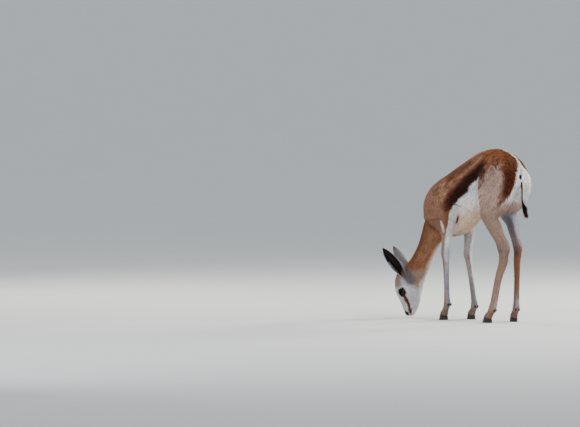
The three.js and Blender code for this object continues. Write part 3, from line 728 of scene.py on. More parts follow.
# Half the white line of the back's width, in millimetres, at places along the body.
LINE_PLACES = [-60, -20, 0, 20, 100, 118, 148, 170]
LINE_HALVES = [7.5, 8.0, 3.5, 0.8, 0.8, 5.0, 3.6, 4.0]
NOSE_TIP = (7.2, 11.5)
CHEST_SPOT = np.array([5, -203, 330])
CHEST_WAY = unit([0.05, -0.5, -0.86])
THROAT_WAY = unit([-0.3, 1, -0.1])
LIMB_CENTRES = {name: np.array(limb[2], float) for name, limb in LIMBS.items()}
HOCK_ROW = 8
KNEE_HEIGHT = 214
HOCK_HEIGHT = 248
FETLOCK_HEIGHT = 68
# Middles of small painted shades: on the rump in the side view, and above the brow and on the temple in the
# face's.
RUMP_SHADE = (196, 512)
BROW_SHADE = (28.5, 112)
TEMPLE_SHADE = (6.7, 117)


def past_chest(p):
    """How far points lie beyond the plane between the trunk and the neck."""
    return (p - CHEST_SPOT) @ CHEST_WAY


def along_hair(p, way, size, seed, reach=14):
    """Noise from about -1 to 1 that is drawn out along the hair."""
    steps = np.linspace(-reach, reach, 5)
    return 3.4 * sum(noise(p + way * step, size, seed) for step in steps) / len(steps)


def limb_share(p, name):
    """How much each point belongs to a limb below the trunk, from 0 to 1."""
    hind = name.startswith("hind")
    centres = LIMB_CENTRES[name]
    x, y = centre_at(centres, p[:, 2])
    near = smooth(75 if hind else 62, 50, np.hypot(p[:, 0] - x, p[:, 1] - y))
    near = near * (np.sign(p[:, 0]) == np.sign(centres[-1][0]))
    top = smooth(415, 350, p[:, 2]) if hind else smooth(322, 268, p[:, 2])
    return near * top


def tail_spot(p):
    """The dark spot beside the tail's root, from 0 to 1."""
    w = side_place(p)[1]
    return smooth(7.5, 6, np.hypot(p[:, 1] - p[:, 0] - SPOT[0], (w - SPOT[1]) * 0.72))


def ear_root(h):
    """How near points are to the root of an ear."""
    return cone(left_half(h), (22, -13, 128), (33, 4, 160), 11, 8)


class Coat:
    """The colour at points of the skin, laid on hue by hue, and what the markings depend on."""

    def __init__(self, p, n):
        self.p, self.n = p, n
        self.x, self.y, self.z = p.T
        self.colour = np.tile(HUES["back"], (len(p), 1))
        self.trunk_side = smooth(330, 420, self.z) * smooth(-200, -150, self.y)
        steep = smooth(-10, 70, self.y)
        drawn = np.stack([0 * steep, 0.82 - 0.24 * steep, 0.57 + 0.24 * steep], -1)
        drawn = unit(lies(p, n) + 3 * self.trunk_side[:, None] * drawn)
        self.streaks = along_hair(p, drawn, 4.4, 8)
        self.broad = along_hair(p, drawn, 9, 9, 24)
        self.fray = 6 * self.streaks + 4 * self.broad
        self.wobble = 0.12 * noise(p, 9, 5)
        self.seen_u, self.seen_w = side_place(p)
        self.shift = (2.0 * noise(p, 11, 1) + 1.2 * noise(p, 4, 2)
                      + (2.0 * self.streaks + 1.2 * self.broad) * self.trunk_side)
        self.u = self.seen_u + self.shift
        self.w = self.seen_w + 1.6 * noise(p, 7, 3)
        self.belly = area_depth(BELLY, self.u, self.w)

    def lay(self, name, share):
        """Mixes a hue into the colour, by a share from 0 to 1."""
        share = np.clip(share, 0, 1)[:, None]
        self.colour = self.colour + (HUES[name] - self.colour) * share

    def grain(self, fine, coarse, low, high):
        """Lightens and darkens the colour along the hair."""
        tone = np.clip(1 + fine * self.streaks + coarse * self.broad, low, high)
        self.colour = self.colour * tone[:, None]


def paint_trunk(c):
    """Back, shoulder, side stripe, thigh, belly and rump, with painted bluish shade on the top of the belly
    and on the rump near the tail's root.
    """
    x, y, z, u, w, n, fray, lay = c.x, c.y, c.z, c.u, c.w, c.n, c.fray, c.lay
    stripe = area_depth(STRIPE, u, w)
    lay("shoulder", smooth(-150, -190, u))
    lay("rufous", 0.55 * smooth(0.4, 0.8, 0.6 * n[:, 2] - 0.8 * n[:, 1]) * smooth(-60, -130, y))
    lay("streak", 0.8 * bell(line_distance(STREAK_LINE, u, w) + 0.3 * fray, 10))
    lay("fringe", 0.42 * bell(line_distance(DARK_BACK, u, w) + 0.3 * fray, 8))
    lay("crest", 0.7 * smooth(0.5, 0.85, n[:, 2]) * smooth(430, 500, z))
    lay("hip", 0.9 * smooth(30, 100, u + 2 * fray) * smooth(480, 530, w))
    lay("fringe", 0.9 * smooth(-16, -2, stripe + 0.3 * fray) * smooth(-215, -160, u) * smooth(48, 0, u))
    lay("stripe", smooth(-3, 5, stripe) * smooth(-180, -138, u + fray) * smooth(30, -14, u + fray))
    thigh = area_depth(THIGH, u, w)
    lay("thigh", smooth(-26, 16, thigh + 1.2 * fray))
    lay("thigh", 0.6 * smooth(24, 10, np.abs(u - 60)) * smooth(420, 400, w) * smooth(40, 70, y))
    strong = (1 - 0.74 * smooth(445, 400, w)) * (1 - 0.55 * smooth(505, 550, w))
    lay("rufous", strong * smooth(-20, 8, area_depth(RUFOUS, u, w) + fray) * smooth(80, 130, y))
    brown = c.trunk_side * smooth(-24, -4, -thigh) * (1 - 0.6 * smooth(-6, 4, stripe))
    c.grain((0.1 + 0.5 * brown) * c.trunk_side, (0.06 + 0.2 * brown) * c.trunk_side, 0.4, 1.9)

    trunk = smooth(-176, -160, y)
    before = smooth(75, 55, y)
    lay("white", smooth(-1.5, 2.5, c.belly) * trunk * before)
    lay("fringe", 0.8 * bell(c.belly - 0.5, 2.2) * smooth(-14, -6, stripe) * trunk)
    under = smooth(-0.3, -0.6, n[:, 2]) * smooth(-135, -115, y) * smooth(270, 300, z)
    between = smooth(24, 12, np.abs(x)) * smooth(440, 420, z) * smooth(270, 290, z) * smooth(-150, -120, y)
    lay("white", np.maximum(under, between))
    below = np.maximum.reduce([smooth(0, 6, c.belly), under, between]) * trunk * before
    lay("cream", 0.9 * smooth(425, 330, w - 0.25 * (u + 60)) * below)
    # Painted bluish shade on the top of the belly's white.
    lay("sky_shade", 0.5 * smooth(0, 6, c.belly) * smooth(405, 435, w) * trunk * before)

    beyond = 28 * smooth(530, 505, w) * (x < 0)
    rump = smooth(-2.5, 3.5, area_depth(RUMP, u + beyond, w) - 0.3 * fray) * smooth(90, 120, y)
    lay("white", rump)
    # Painted bluish shade on the rump's white near the tail's root.
    lay("sky_shade", 0.7 * rump * bell(np.hypot(u - RUMP_SHADE[0], w - RUMP_SHADE[1]), 15))
    lay("thigh", rump * (0.6 * smooth(445, 400, z) + 0.35 * smooth(425, 405, z)))
    half = np.interp(y, LINE_PLACES, LINE_HALVES)
    line = smooth(half + 1.0, half - 1.0, np.abs(x) + 0.8 * noise(c.p, 6, 4)) * smooth(500, 520, z)
    lay("white", line * smooth(-75, -55, y))
    lay("white", 0.85 * smooth(-3, 2, area_depth(BRISKET, u, w)) * (x > 0))
    lay("black", tail_spot(c.p) * (y > 150))


def paint_fore(c, share, near, out, toe):
    """A fore leg: white behind on the near one, with painted bluish shade and painted shade over it, painted
    shade on the far one, and brown in front of the cannon.
    """
    z, wobble, heel, lay = c.z, c.wobble, -toe, c.lay
    lay("leg", share)
    lay("inner", share * smooth(0.2, -0.3, out + wobble))
    if near:
        pale = smooth(-0.55, -0.05, heel - 0.55 * np.abs(out) + wobble) * smooth(0.05, 0.4, heel + wobble)
        lay("white", share * pale * smooth(100, 240, z))
        # Painted bluish shade on the near leg's white, and painted shade on it lower down.
        lay("sky_shade", 0.8 * share * pale * smooth(275, 235, z) * smooth(52, 75, z))
        lay("shade", 0.6 * share * pale * smooth(260, 110, z))
    else:
        lay("cheek", 0.35 * share * smooth(200, 250, z) * smooth(0.3, -0.3, out))
        lay("shade", 0.5 * share * smooth(170, 110, z))
        low = 0.25 + 0.75 * smooth(110, 180, z)
        lay("white", share * low * smooth(0.72, 0.98, heel + 0.4 * out + wobble) * smooth(52, 75, z))
        lay("dark", 0.5 * share * bell(z - KNEE_HEIGHT, 8) * bell(heel - 0.75, 0.2) * smooth(0.2, -0.2, out))
    lay("cannon", 0.8 * share * smooth(0.25, 0.8, toe + 0.4 * out) * smooth(225, 190, z))


def paint_hind(c, share, near, out, toe):
    """A hind leg: a pale edge behind, in painted bluish shade on the far one, brown on the cannon, and
    painted shade on the inner side, round the near hock and low on the far leg.
    """
    z, heel, lay = c.z, -toe, c.lay
    lay("leg", share * smooth(-0.3, 0.1, out) * (1 if near else 0.4))
    inside = smooth(0.25, -0.25, out + c.wobble)
    lay("shade", share * inside * smooth(225, 250, z) * (0.3 + 0.6 * smooth(290, 350, z)))
    lay("leg", 0.75 * share * inside * smooth(350, 400, z))
    start, full = (0.82, 0.98) if near else (0.6, 0.9)
    edge = smooth(start, full, heel + 0.2 * c.wobble) * smooth(250, 290, z) * smooth(410, 380, z)
    # On the far leg the pale edge is painted in bluish shade.
    lay("white" if near else "sky_shade", 0.9 * share * edge)
    lay("cannon", 0.75 * share * smooth(240, 215, z) * smooth(0.3, -0.3, out))
    lay("cannon", 0.5 * share * smooth(275, 240, z) * smooth(150, 200, z) * smooth(0.2, 0.7, heel))
    lay("cannon", 0.35 * share * smooth(215, 150, z) * smooth(0.3, 0.8, toe))
    lay("inner", 0.5 * share * smooth(150, 60, z) * inside)
    if near:
        lay("cannon", 0.34 * share * bell(z - 215, 75))
        lay("shade", 0.28 * share * bell(z - HOCK_HEIGHT, 30))
    else:
        lay("inner", 0.65 * share * bell(z - 278, 24))
        lay("shade", 0.2 * share * smooth(130, 80, z))
        # Painted bluish shade on the far leg's inner side.
        lay("sky_shade", 0.15 * share * inside * smooth(270, 320, z))
    lay("cheek", 0.5 * share * bell(z - FETLOCK_HEIGHT, 12) * smooth(0.2, 0.8, heel))


def paint_limb(c, name):
    """One leg, with the dark spot inside the hock and the darker pastern."""
    _, yaw, places = LIMBS[name]
    share = limb_share(c.p, name)
    left = 1 if name.endswith("left") else -1
    out = left * (c.n @ foot_way(yaw, (1, 0, 0)))
    toe = c.n @ foot_way(yaw, (0, 1, 0))
    if name.startswith("fore"):
        paint_fore(c, share, left > 0, out, toe)
    else:
        paint_hind(c, share, left > 0, out, toe)
        hock = np.array([places[HOCK_ROW][0] + left * 11, places[HOCK_ROW][1] - 2, HOCK_HEIGHT])
        c.lay("dark", 0.6 * bell(np.linalg.norm(c.p - hock, axis=1), 6))
    c.lay("crest", 0.5 * share * smooth(46, 30, c.z))


def paint_folds(c):
    """The lines of elbow and armpit, painted as shade in their creases, with a painted bluish sheen on the
    elbow, and the edges of the thighs.
    """
    u, w, lay = c.seen_u, c.seen_w, c.lay
    near_side = (c.x > 0) * (c.y < -40)
    # A painted bluish sheen on the white of the near elbow.
    lay("sky_shade", 0.7 * bell(line_distance(ELBOW_SHEEN, u, w), 15) * smooth(2, 6, c.belly) * near_side)
    # The elbow's crease painted dark, as shade.
    fold = bell(line_distance(ELBOW_LINE, u, w), 2.6) * near_side
    lay("dark", fold * smooth(-75, -120, u))
    lay("shade", 0.7 * fold)
    pit = line_distance(ARMPIT_LINE, u, w)
    lay("inner", 0.7 * bell(pit, 11) * near_side)
    # Painted shadow in the armpit.
    lay("dark", smooth(5, 3.2, pit) * near_side * smooth(330, 336, w))
    lay("leg", 0.9 * smooth(-2, 6, area_depth(NEAR_HOLLOW, u, w)) * (c.x > 20) * (c.y > 60))
    lay("rufous", 0.7 * bell(line_distance(FAR_EDGE, u, w), 6) * (c.x < -10) * (c.y > 140))


def paint_neck(c):
    """Neck, its dark crest and its white throat. Gives how much each point belongs to neck and head."""
    y, z, lay = c.y, c.z, c.lay
    past = past_chest(c.p)
    neck = smooth(-6, 8, past) * smooth(-140, -158, y)
    lay("neck", neck)
    # A painted dark line of shade round the crease at the neck's base.
    lay("rufous", 0.5 * bell(past + 3 - 1.5 * c.streaks, 5) * smooth(-150, -165, y))
    nape = -(c.n @ unit([-0.35, 1, 0]))
    throat = c.n @ THROAT_WAY
    lay("crest", 0.95 * neck * smooth(-0.15, 0.75, nape))
    lay("rufous", 0.22 * neck * smooth(0.1, 0.8, nape))
    lay("crest", 0.5 * neck * smooth(215, 180, z) * smooth(0.6, 0.2, throat))
    c.grain(0.16 * neck, 0.08 * neck, 0.5, 1.6)
    lay("cream", 0.8 * neck * smooth(0.6, 0.85, throat) * smooth(262, 215, z))
    lay("white", 0.9 * neck * smooth(0.82, 0.95, throat) * smooth(262, 225, z))
    return neck


def paint_head(c, neck):
    """Cheek, forehead, tear line, lids, nose and lips, with painted shade round the ears' roots, above the
    brow and on the temple, and painted bluish shade low on the cheek. Gives how bare the skin is, from 0 to
    1.
    """
    p, streaks, lay = c.p, c.streaks, c.lay
    h = to_head(p)
    side, front, up = left_half(h).T
    q, z = face_place(h)
    q, z = q + 0.35 * c.shift, z + 1.2 * noise(p, 5, 6)
    head = neck * smooth(180, 160, p[:, 2])
    pale = smooth(134, 104, z + 0.5 * (10 - q) * (q < 10) - 0.9 * np.maximum(q - 10, 0) + 3 * noise(p, 9, 12))
    lay("leg", 0.85 * head * smooth(164, 140, z + 0.3 * (q - 10)))
    lay("cheek", head * pale)
    # Painted bluish shade low on the cheek.
    lay("sky_shade", 0.4 * head * pale * smooth(75, 50, z) * smooth(4, -6, q))
    lay("white", 0.85 * head * smooth(0.6, 0.9, -(c.n @ head_way((0, 1, 0)))))
    lay("white", 0.35 * head * smooth(60, 40, z) * smooth(16, 10, q))
    lay("forehead", 0.85 * head * smooth(92, 110, z) * smooth(25, 36, q + 2 * noise(p, 5, 13)))
    lay("crest", 0.55 * head * smooth(100, 125, z) * smooth(14, 6, side) * (front > 10))
    lay("crest", 0.85 * head * smooth(6.5, 3.5, side) * (front > 5) * smooth(16, 26, z) * smooth(100, 90, z))
    # Painted shade round the root of each ear.
    lay("ear_root_shade", 0.9 * head * bell(ear_root(h), 7))

    out, _, opening, ball = eye_places(h)
    near = smooth(26, 20, ball) * (out > -2)
    lay("white", 0.55 * head * smooth(30, 20, ball) * smooth(6, 12, opening) * smooth(10, -4, front - 14))
    inner = smooth(-2, 5, front - EYE_CENTRE[1]) * smooth(12, 18, side)
    lay("tear", 0.95 * head * smooth(9.5, 6, opening) * inner)
    half = np.interp(z, [20, 45, 70], [4.6, 5.0, 5.8])
    stripe = head * smooth(2.2, -1.4, line_distance(TEAR, q, z) - half + 1.2 * streaks) * smooth(5, 9, side)
    lay("tear", stripe)
    lay("dark", 0.75 * stripe * smooth(0.0, 0.5, noise(p, 5, 14)))
    lay("tear", 0.8 * near * smooth(10, 5, opening) * smooth(-4, 4, front - EYE_CENTRE[1] + 6))
    lay("black", near * smooth(7.2, 4.6, opening))
    # Painted shade above the brow and on the temple.
    brow = bell(np.hypot(q - BROW_SHADE[0], z - BROW_SHADE[1]), 3)
    temple = bell(np.hypot(q - TEMPLE_SHADE[0], z - TEMPLE_SHADE[1]), 4)
    lay("grey", 0.6 * head * brow + 0.4 * head * temple)

    nostril = np.linalg.norm((left_half(h) - NOSTRIL) * [1, 1, 0.9], axis=1)
    bridge = smooth(9.5, 7.5, side) * smooth(4, 6.5, front) * smooth(20, 16, up)
    tip = smooth(1.12, 0.9, np.hypot((q - NOSE_TIP[0]) / 7.2, (z - NOSE_TIP[1]) / 8.8)) * smooth(2, 5, side)
    pad = np.maximum.reduce([smooth(10.2, 8.2, nostril), bridge, tip * (up > 2)]) * (up < 27) * (front > 0)
    lay("black", pad)
    lips = smooth(2.4, 1.2, line_distance(MOUTH, front, up)) * smooth(40, 30, up) * head
    lay("dark", 0.85 * lips)
    return np.clip(np.maximum.reduce([pad, near * smooth(2.2, 1.0, opening), 0.9 * lips]), 0, 1)


def markings(p, n):
    """The coat's colour at points with upward ways, and how bare the skin is there, from 0 to 1."""
    coat = Coat(p, n)
    paint_trunk(coat)
    for name in LIMBS:
        paint_limb(coat, name)
    paint_folds(coat)
    bare = paint_head(coat, paint_neck(coat))
    return coat.colour, bare


def lies(p, n):
    """The way that the coat lies at points on the skin."""
    p = np.asarray(p, np.float32)
    x, y, z = p.T
    total = np.zeros((len(p), 3))
    high = smooth(300, 420, z)
    for part in BODY:
        way = np.zeros((len(p), 3), np.float32)
        d = part.distance(p, np.full(len(p), 30, np.float32), way)
        weight = np.exp(-np.maximum(d + 4, 0) / 7.0)
        if part.name.startswith("fore"):
            weight *= 1 - 0.55 * high
        total += way * weight[:, None]
    trunk = smooth(330, 400, z) * smooth(-190, -150, y)
    total[:, 2] -= 0.42 * (np.abs(n[:, 0]) * trunk) * smooth(60, 0, y)
    # On the croup the hair closes over the white line of the back.
    croup = smooth(-40, 60, y) * smooth(500, 535, z) * smooth(150, 120, y)
    inward = np.stack([-np.sign(x) * smooth(0, 12, np.abs(x)), 0 * x, 0 * x], -1)
    total += inward * (0.8 * croup)[:, None]
    total += 0.22 * np.stack([noise(p, 26, seed) for seed in (21, 22, 23)], -1)
    total -= n * (total * n).sum(1)[:, None]
    return unit(total)


# Where each part of the skin lies on its flat map: left, bottom, width and height.
CHARTS = {
    "trunk": (0.02, 0.02, 0.56, 0.56),
    "neck": (0.02, 0.62, 0.26, 0.34),
    "head": (0.32, 0.62, 0.26, 0.34),
    "fore_left": (0.62, 0.02, 0.15, 0.45),
    "fore_right": (0.81, 0.02, 0.15, 0.45),
    "hind_left": (0.62, 0.51, 0.15, 0.45),
    "hind_right": (0.81, 0.51, 0.15, 0.45),
}
CHART_NAMES = list(CHARTS)


def region(p):
    """Which chart each point belongs to."""
    x, y, z = np.abs(p[:, 0]), p[:, 1], p[:, 2]
    code = np.zeros(len(p), int)
    code[(past_chest(p) > 0) & (y < -150)] = CHART_NAMES.index("neck")
    code[on_head_side(p)] = CHART_NAMES.index("head")
    fore = (x > 30) & (z < 332) & (y > -170) & (y < -40)
    hind = (z < 425) & (y > 38)
    for name, where in [("fore", fore), ("hind", hind)]:
        code[where & (p[:, 0] > 0)] = CHART_NAMES.index(name + "_left")
        code[where & (p[:, 0] <= 0)] = CHART_NAMES.index(name + "_right")
    return code


def turn_place(x, y):
    """A direction round a chart's middle, as a part of a whole turn."""
    return np.arctan2(x, y) / (2 * math.pi) + 0.5


def flat_place(p, code):
    """Round and along its chart, each from 0 to 1 or a little past, for points of one chart."""
    name = CHART_NAMES[code]
    if name == "trunk":
        rows = np.array(TRUNK, float)
        across, over = p[:, 0], p[:, 2] - np.interp(p[:, 1], rows[:, 1], rows[:, 2])
        v = p[:, 1].copy()
        for stop, way in [(110, 1), (-150, -1)]:
            past = (p[:, 1] - stop) * way
            lean = np.arctan2(past, np.hypot(across, over))
            v = np.where(past > 0, stop + way * 85 * lean, v)
        return turn_place(across, over), (v + 285) / 530
    if name == "head":
        h = to_head(p)
        front = h[:, 1] - np.interp(h[:, 2], [20, 60, 100, 150], [-2, -3, 0, -8])
        nose = 20 - 16 * np.arctan2(20 - h[:, 2], np.hypot(h[:, 0], front))
        return turn_place(h[:, 0], front), (np.where(h[:, 2] < 20, nose, h[:, 2]) + 6) / 190
    x, y = centre_at(np.array(NECK, float) if name == "neck" else LIMB_CENTRES[name], p[:, 2])
    if name == "neck":
        return turn_place(p[:, 0] - x, y - p[:, 1]), (p[:, 2] - 150) / 240
    return turn_place(p[:, 0] - x, p[:, 1] - y), p[:, 2] / (440 if name.startswith("hind") else 345)


def flat_map(corners, middles):
    """Places on the flat map for the corners of faces: corners (n, k, 3), middles (n, 3)."""
    code = region(middles)
    out = np.zeros(corners.shape[:2] + (2,))
    for c in np.unique(code):
        at = np.nonzero(code == c)[0]
        x0, y0, wide, tall = CHARTS[CHART_NAMES[c]]
        mid, _ = flat_place(middles[at], c)
        for k in range(corners.shape[1]):
            a, v = flat_place(corners[at, k], c)
            a = mid + (a - mid + 0.5) % 1 - 0.5
            out[at, k, 0] = x0 + wide * np.clip(a, -0.05, 1.05)
            out[at, k, 1] = y0 + tall * np.clip(v, -0.03, 1.03)
    return out


EYE_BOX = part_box("eye_left")
EYE_MIDDLE = (np.array(EYE_BOX[0]) + np.array(EYE_BOX[1])) / 2 * 1000
ORIGIN = head_point(EYE_CENTRE) - EYE_MIDDLE


def place(p):
    """Points of the body, in millimetres, as points of the part, in metres."""
    return (np.asarray(p, float) - ORIGIN) / 1000


def flat(values):
    """Values in one row, as a mesh takes them."""
    return values.astype(np.float32).ravel()


def build(name, points, faces, colour, uv, material, bare=None, normals=None):
    """A mesh object from points of the body and groups of faces, each with its places on the flat map."""
    mesh = bpy.data.meshes.new(name)
    faces, uv = zip(*[(np.asarray(f, np.int32), u) for f, u in zip(faces, uv) if len(f)])
    loops = np.concatenate([f.ravel() for f in faces])
    sizes = np.concatenate([np.full(len(f), f.shape[1]) for f in faces])
    mesh.vertices.add(len(points))
    mesh.vertices.foreach_set("co", flat(place(points)))
    mesh.loops.add(len(loops))
    mesh.loops.foreach_set("vertex_index", loops)
    mesh.polygons.add(len(sizes))
    mesh.polygons.foreach_set("loop_start", np.concatenate([[0], np.cumsum(sizes)[:-1]]).astype(np.int32))
    layer = mesh.uv_layers.new(name="OFBake")
    layer.uv.foreach_set("vector", flat(np.concatenate([u.reshape(-1, 2) for u in uv])))
    attribute = mesh.attributes.new("coat", "FLOAT_COLOR", "POINT")
    attribute.data.foreach_set("color", flat(np.column_stack([colour, np.ones(len(points))])))
    if bare is not None:
        attribute = mesh.attributes.new("bare", "FLOAT", "POINT")
        attribute.data.foreach_set("value", bare.astype(np.float32))
    mesh.update(calc_edges=True)
    mesh.polygons.foreach_set("use_smooth", np.ones(len(sizes), bool))
    if normals is not None:
        mesh.normals_split_custom_set_from_vertices(normals.astype(np.float32).tolist())
    mesh.validate(verbose=False)
    piece = bpy.data.objects.new(name, mesh)
    bpy.context.scene.collection.objects.link(piece)
    mesh.materials.append(material)
    return piece


class Nodes:
    """A short way to make a material of nodes: each method adds a node and gives its output."""

    def __init__(self, name):
        self.material = bpy.data.materials.new(name)
        self.material.use_nodes = True
        self.tree = self.material.node_tree
        self.shader = self.tree.nodes["Principled BSDF"]

    def feed(self, socket, value):
        if isinstance(value, bpy.types.NodeSocket):
            self.tree.links.new(value, socket)
        else:
            socket.default_value = value

    def add(self, kind, inputs=None, **settings):
        node = self.tree.nodes.new(kind)
        for key, value in settings.items():
            setattr(node, key, value)
        for key, value in (inputs or {}).items():
            self.feed(node.inputs[key], value)
        return node.outputs

    def set(self, **inputs):
        for key, value in inputs.items():
            self.feed(self.shader.inputs[key.replace("_", " ")], value)

    def mix(self, factor, a, b, blend="MIX"):
        inputs = {0: factor, 6: a, 7: b}
        return self.add("ShaderNodeMix", inputs, data_type="RGBA", blend_type=blend)[2]

    def scale(self, value, low, high, to_low, to_high):
        inputs = {"Value": value, "From Min": low, "From Max": high, "To Min": to_low, "To Max": to_high}
        return self.add("ShaderNodeMapRange", inputs)["Result"]

    def where(self):
        return self.add("ShaderNodeTexCoord")["Object"]

    def attribute(self, name, output):
        return self.add("ShaderNodeAttribute", attribute_name=name)[output]

    def noise(self, where, scale, detail, rough=0.5):
        inputs = {"Vector": where, "Scale": scale, "Detail": detail, "Roughness": rough}
        return self.add("ShaderNodeTexNoise", inputs)["Fac"]

    def tinted(self, colour, tone):
        """A colour made lighter or darker by a tone round 1."""
        grey = self.add("ShaderNodeCombineColor", {"Red": tone, "Green": tone, "Blue": tone})["Color"]
        return self.mix(1.0, colour, grey, "MULTIPLY")

    def relief(self, height, strength, depth):
        inputs = {"Strength": strength, "Distance": depth, "Height": height}
        return self.add("ShaderNodeBump", inputs)["Normal"]


def coat_material(name, bump, grain, gloss):
    m = Nodes(name)
    where = m.where()
    colour = m.attribute("coat", "Color")
    fine = m.noise(where, 900.0, 3.0, 0.7)
    broad = m.noise(where, 55.0, 4.0, 0.6)
    tones = {0: m.scale(fine, 0.3, 0.7, 1 - grain, 1 + grain), 1: m.scale(broad, 0.3, 0.7, 0.9, 1.1)}
    m.set(Base_Color=m.tinted(colour, m.add("ShaderNodeMath", tones, operation="MULTIPLY")[0]))
    m.set(Roughness=m.scale(m.attribute("bare", "Fac"), 0.0, 1.0, 0.78, 0.36), Specular_IOR_Level=gloss)
    m.set(Normal=m.relief(fine, bump, 0.0006))
    return m.material


# The corners of a tuft's section, across and up, in half widths, and the sides between them.
TUFT_SECTION = [(-1.0, 0.0), (1.0, 0.0), (0.0, 0.55)]
TUFT_SIDES = [(0, 1), (1, 2), (2, 0)]


def blades(name, roots, ups, ways, length, width, lift, colour, uv, rings=2, follow=None, sink=0.5):
    """A mesh of tapered, closed tufts: each starts in the skin at its root and lies along its way.
    follow is a search tree of the skin, which short tufts keep to."""
    count = len(roots)
    length, width, lift = [np.broadcast_to(v, count).astype(float) for v in (length, width, lift)]
    ways = unit(ways - ups * (ways * ups).sum(1)[:, None])
    stops = [i / rings for i in range(rings)] + [1.0]
    centres, tops = [], []
    for s in stops:
        spot = roots + ways * (length * s)[:, None]
        up = ups
        if follow is not None and s > 0:
            found = [follow.find_nearest(q) for q in spot.tolist()]
            spot = np.array([tuple(f[0]) for f in found])
            up = np.array([tuple(f[1]) for f in found])
        rise = lift * s**1.25 - (sink if s == 0 else 0)
        centres.append(spot + up * rise[:, None])
        tops.append(up)
    points, normals, tint = [], [], []
    # Each tuft is painted darker at its root, as shade between the hairs, and a little lighter towards its
    # tip.
    shades = np.interp(stops, [0, 0.4, 1], [0.7, 0.96, 1.1])
    for i, s in enumerate(stops[:-1]):
        onward = unit(centres[i + 1] - centres[max(i - 1, 0)])
        up = unit(tops[i] - onward * (tops[i] * onward).sum(1)[:, None])
        side = np.cross(onward, up)
        half = width / 2 * (0.75 if i == 0 else 1.0 - 0.55 * max(s - 0.45, 0) / 0.55)
        for a, b in TUFT_SECTION:
            points.append(centres[i] + side * (a * half)[:, None] + up * (b * half)[:, None])
            normals.append(unit(up + side * (0.45 * a)))
            tint.append(colour * shades[i])
    points.append(centres[-1])
    normals.append(tops[-1])
    tint.append(colour * shades[-1])

    corners = len(points)
    faces = [(0, 2, 1)]
    for low in range(0, 3 * (rings - 1), 3):
        for a, b in TUFT_SIDES:
            faces += [(low + a, low + b, low + 3 + b), (low + a, low + 3 + b, low + 3 + a)]
    last = 3 * (rings - 1)
    faces += [(last + a, last + b, corners - 1) for a, b in TUFT_SIDES]
    faces = np.array(faces)[:, ::-1]
    index = (np.arange(count)[:, None, None] * corners + faces[None]).reshape(-1, 3)
    # Each tuft has a patch of the flat map, about 3 thousandths of it high.
    shape = [[((k % 3) - 1) * 0.0013, 0.0015 * (k // 3) * 2 / rings - 0.0013] for k in range(corners - 1)]
    shape = np.array(shape + [[0, 0.0015]])
    patch = uv[:, None, None, :] + shape[faces][None]
    points, tint, normals = [np.stack(v, 1).reshape(-1, 3) for v in (points, tint, normals)]
    return build(name, points, [index], tint, [patch], COAT, normals=normals)


def finish(piece, slot, *nodes):
    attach(piece, "root")
    if nodes:
        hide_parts(*nodes)


# The skin.
COAT = coat_material("coat_hair", bump=0.35, grain=0.16, gloss=0.09)
SKIN = coat_material("coat_skin", bump=0.6, grain=0.2, gloss=0.25)
POINTS, FACES = skin_mesh()
QUADS = np.array([f for f in FACES if len(f) == 4])
TRIS = np.array([f for f in FACES if len(f) == 3])


def corner_ways():
    """The skin's upward ways at its points."""
    ways = np.zeros_like(POINTS)
    for group in (QUADS, TRIS):
        a, b, c = POINTS[group[:, 0]], POINTS[group[:, 1]], POINTS[group[:, 2]]
        cross = np.cross(b - a, c - a) if group.shape[1] == 3 else np.cross(c - a, POINTS[group[:, 3]] - b)
        for k in range(group.shape[1]):
            np.add.at(ways, group[:, k], cross)
    return unit(ways)


UPS = corner_ways()
COLOUR, BARE = markings(POINTS, UPS)
FLAT = [flat_map(POINTS[g], POINTS[g].mean(1)) for g in (QUADS, TRIS)]
UNDER_SHADE = 0.62 + 0.38 * BARE
FLESH = ["torso", "neck", "head", "fore_left", "fore_right", "hind_left", "hind_right"]
finish(build("skin", POINTS, [QUADS, TRIS], COLOUR * UNDER_SHADE[:, None], FLAT, SKIN, BARE), "coat", *FLESH)
TREE = BVHTree.FromPolygons(POINTS.tolist(), FACES)


def scatter(density, seed):
    """Quads of the skin for roots, at a density per square millimetre for each quad, and corner weights."""
    rng = np.random.default_rng(seed)
    quads = POINTS[QUADS]
    area = np.linalg.norm(np.cross(quads[:, 2] - quads[:, 0], quads[:, 3] - quads[:, 1]), axis=1) / 2
    load = np.cumsum(area * density)
    count = int(load[-1])
    at = np.searchsorted(load, (np.arange(count) + rng.random(count)) * (load[-1] / count))
    at = np.minimum(at, len(QUADS) - 1)
    a, b = rng.random(count), rng.random(count)
    return at, np.stack([(1 - a) * (1 - b), a * (1 - b), a * b, (1 - a) * b], -1)


def spread(values, at, weights):
    """Values at roots, from those at the corners of their quads."""
    return (values[at] * weights[..., None]).sum(1)


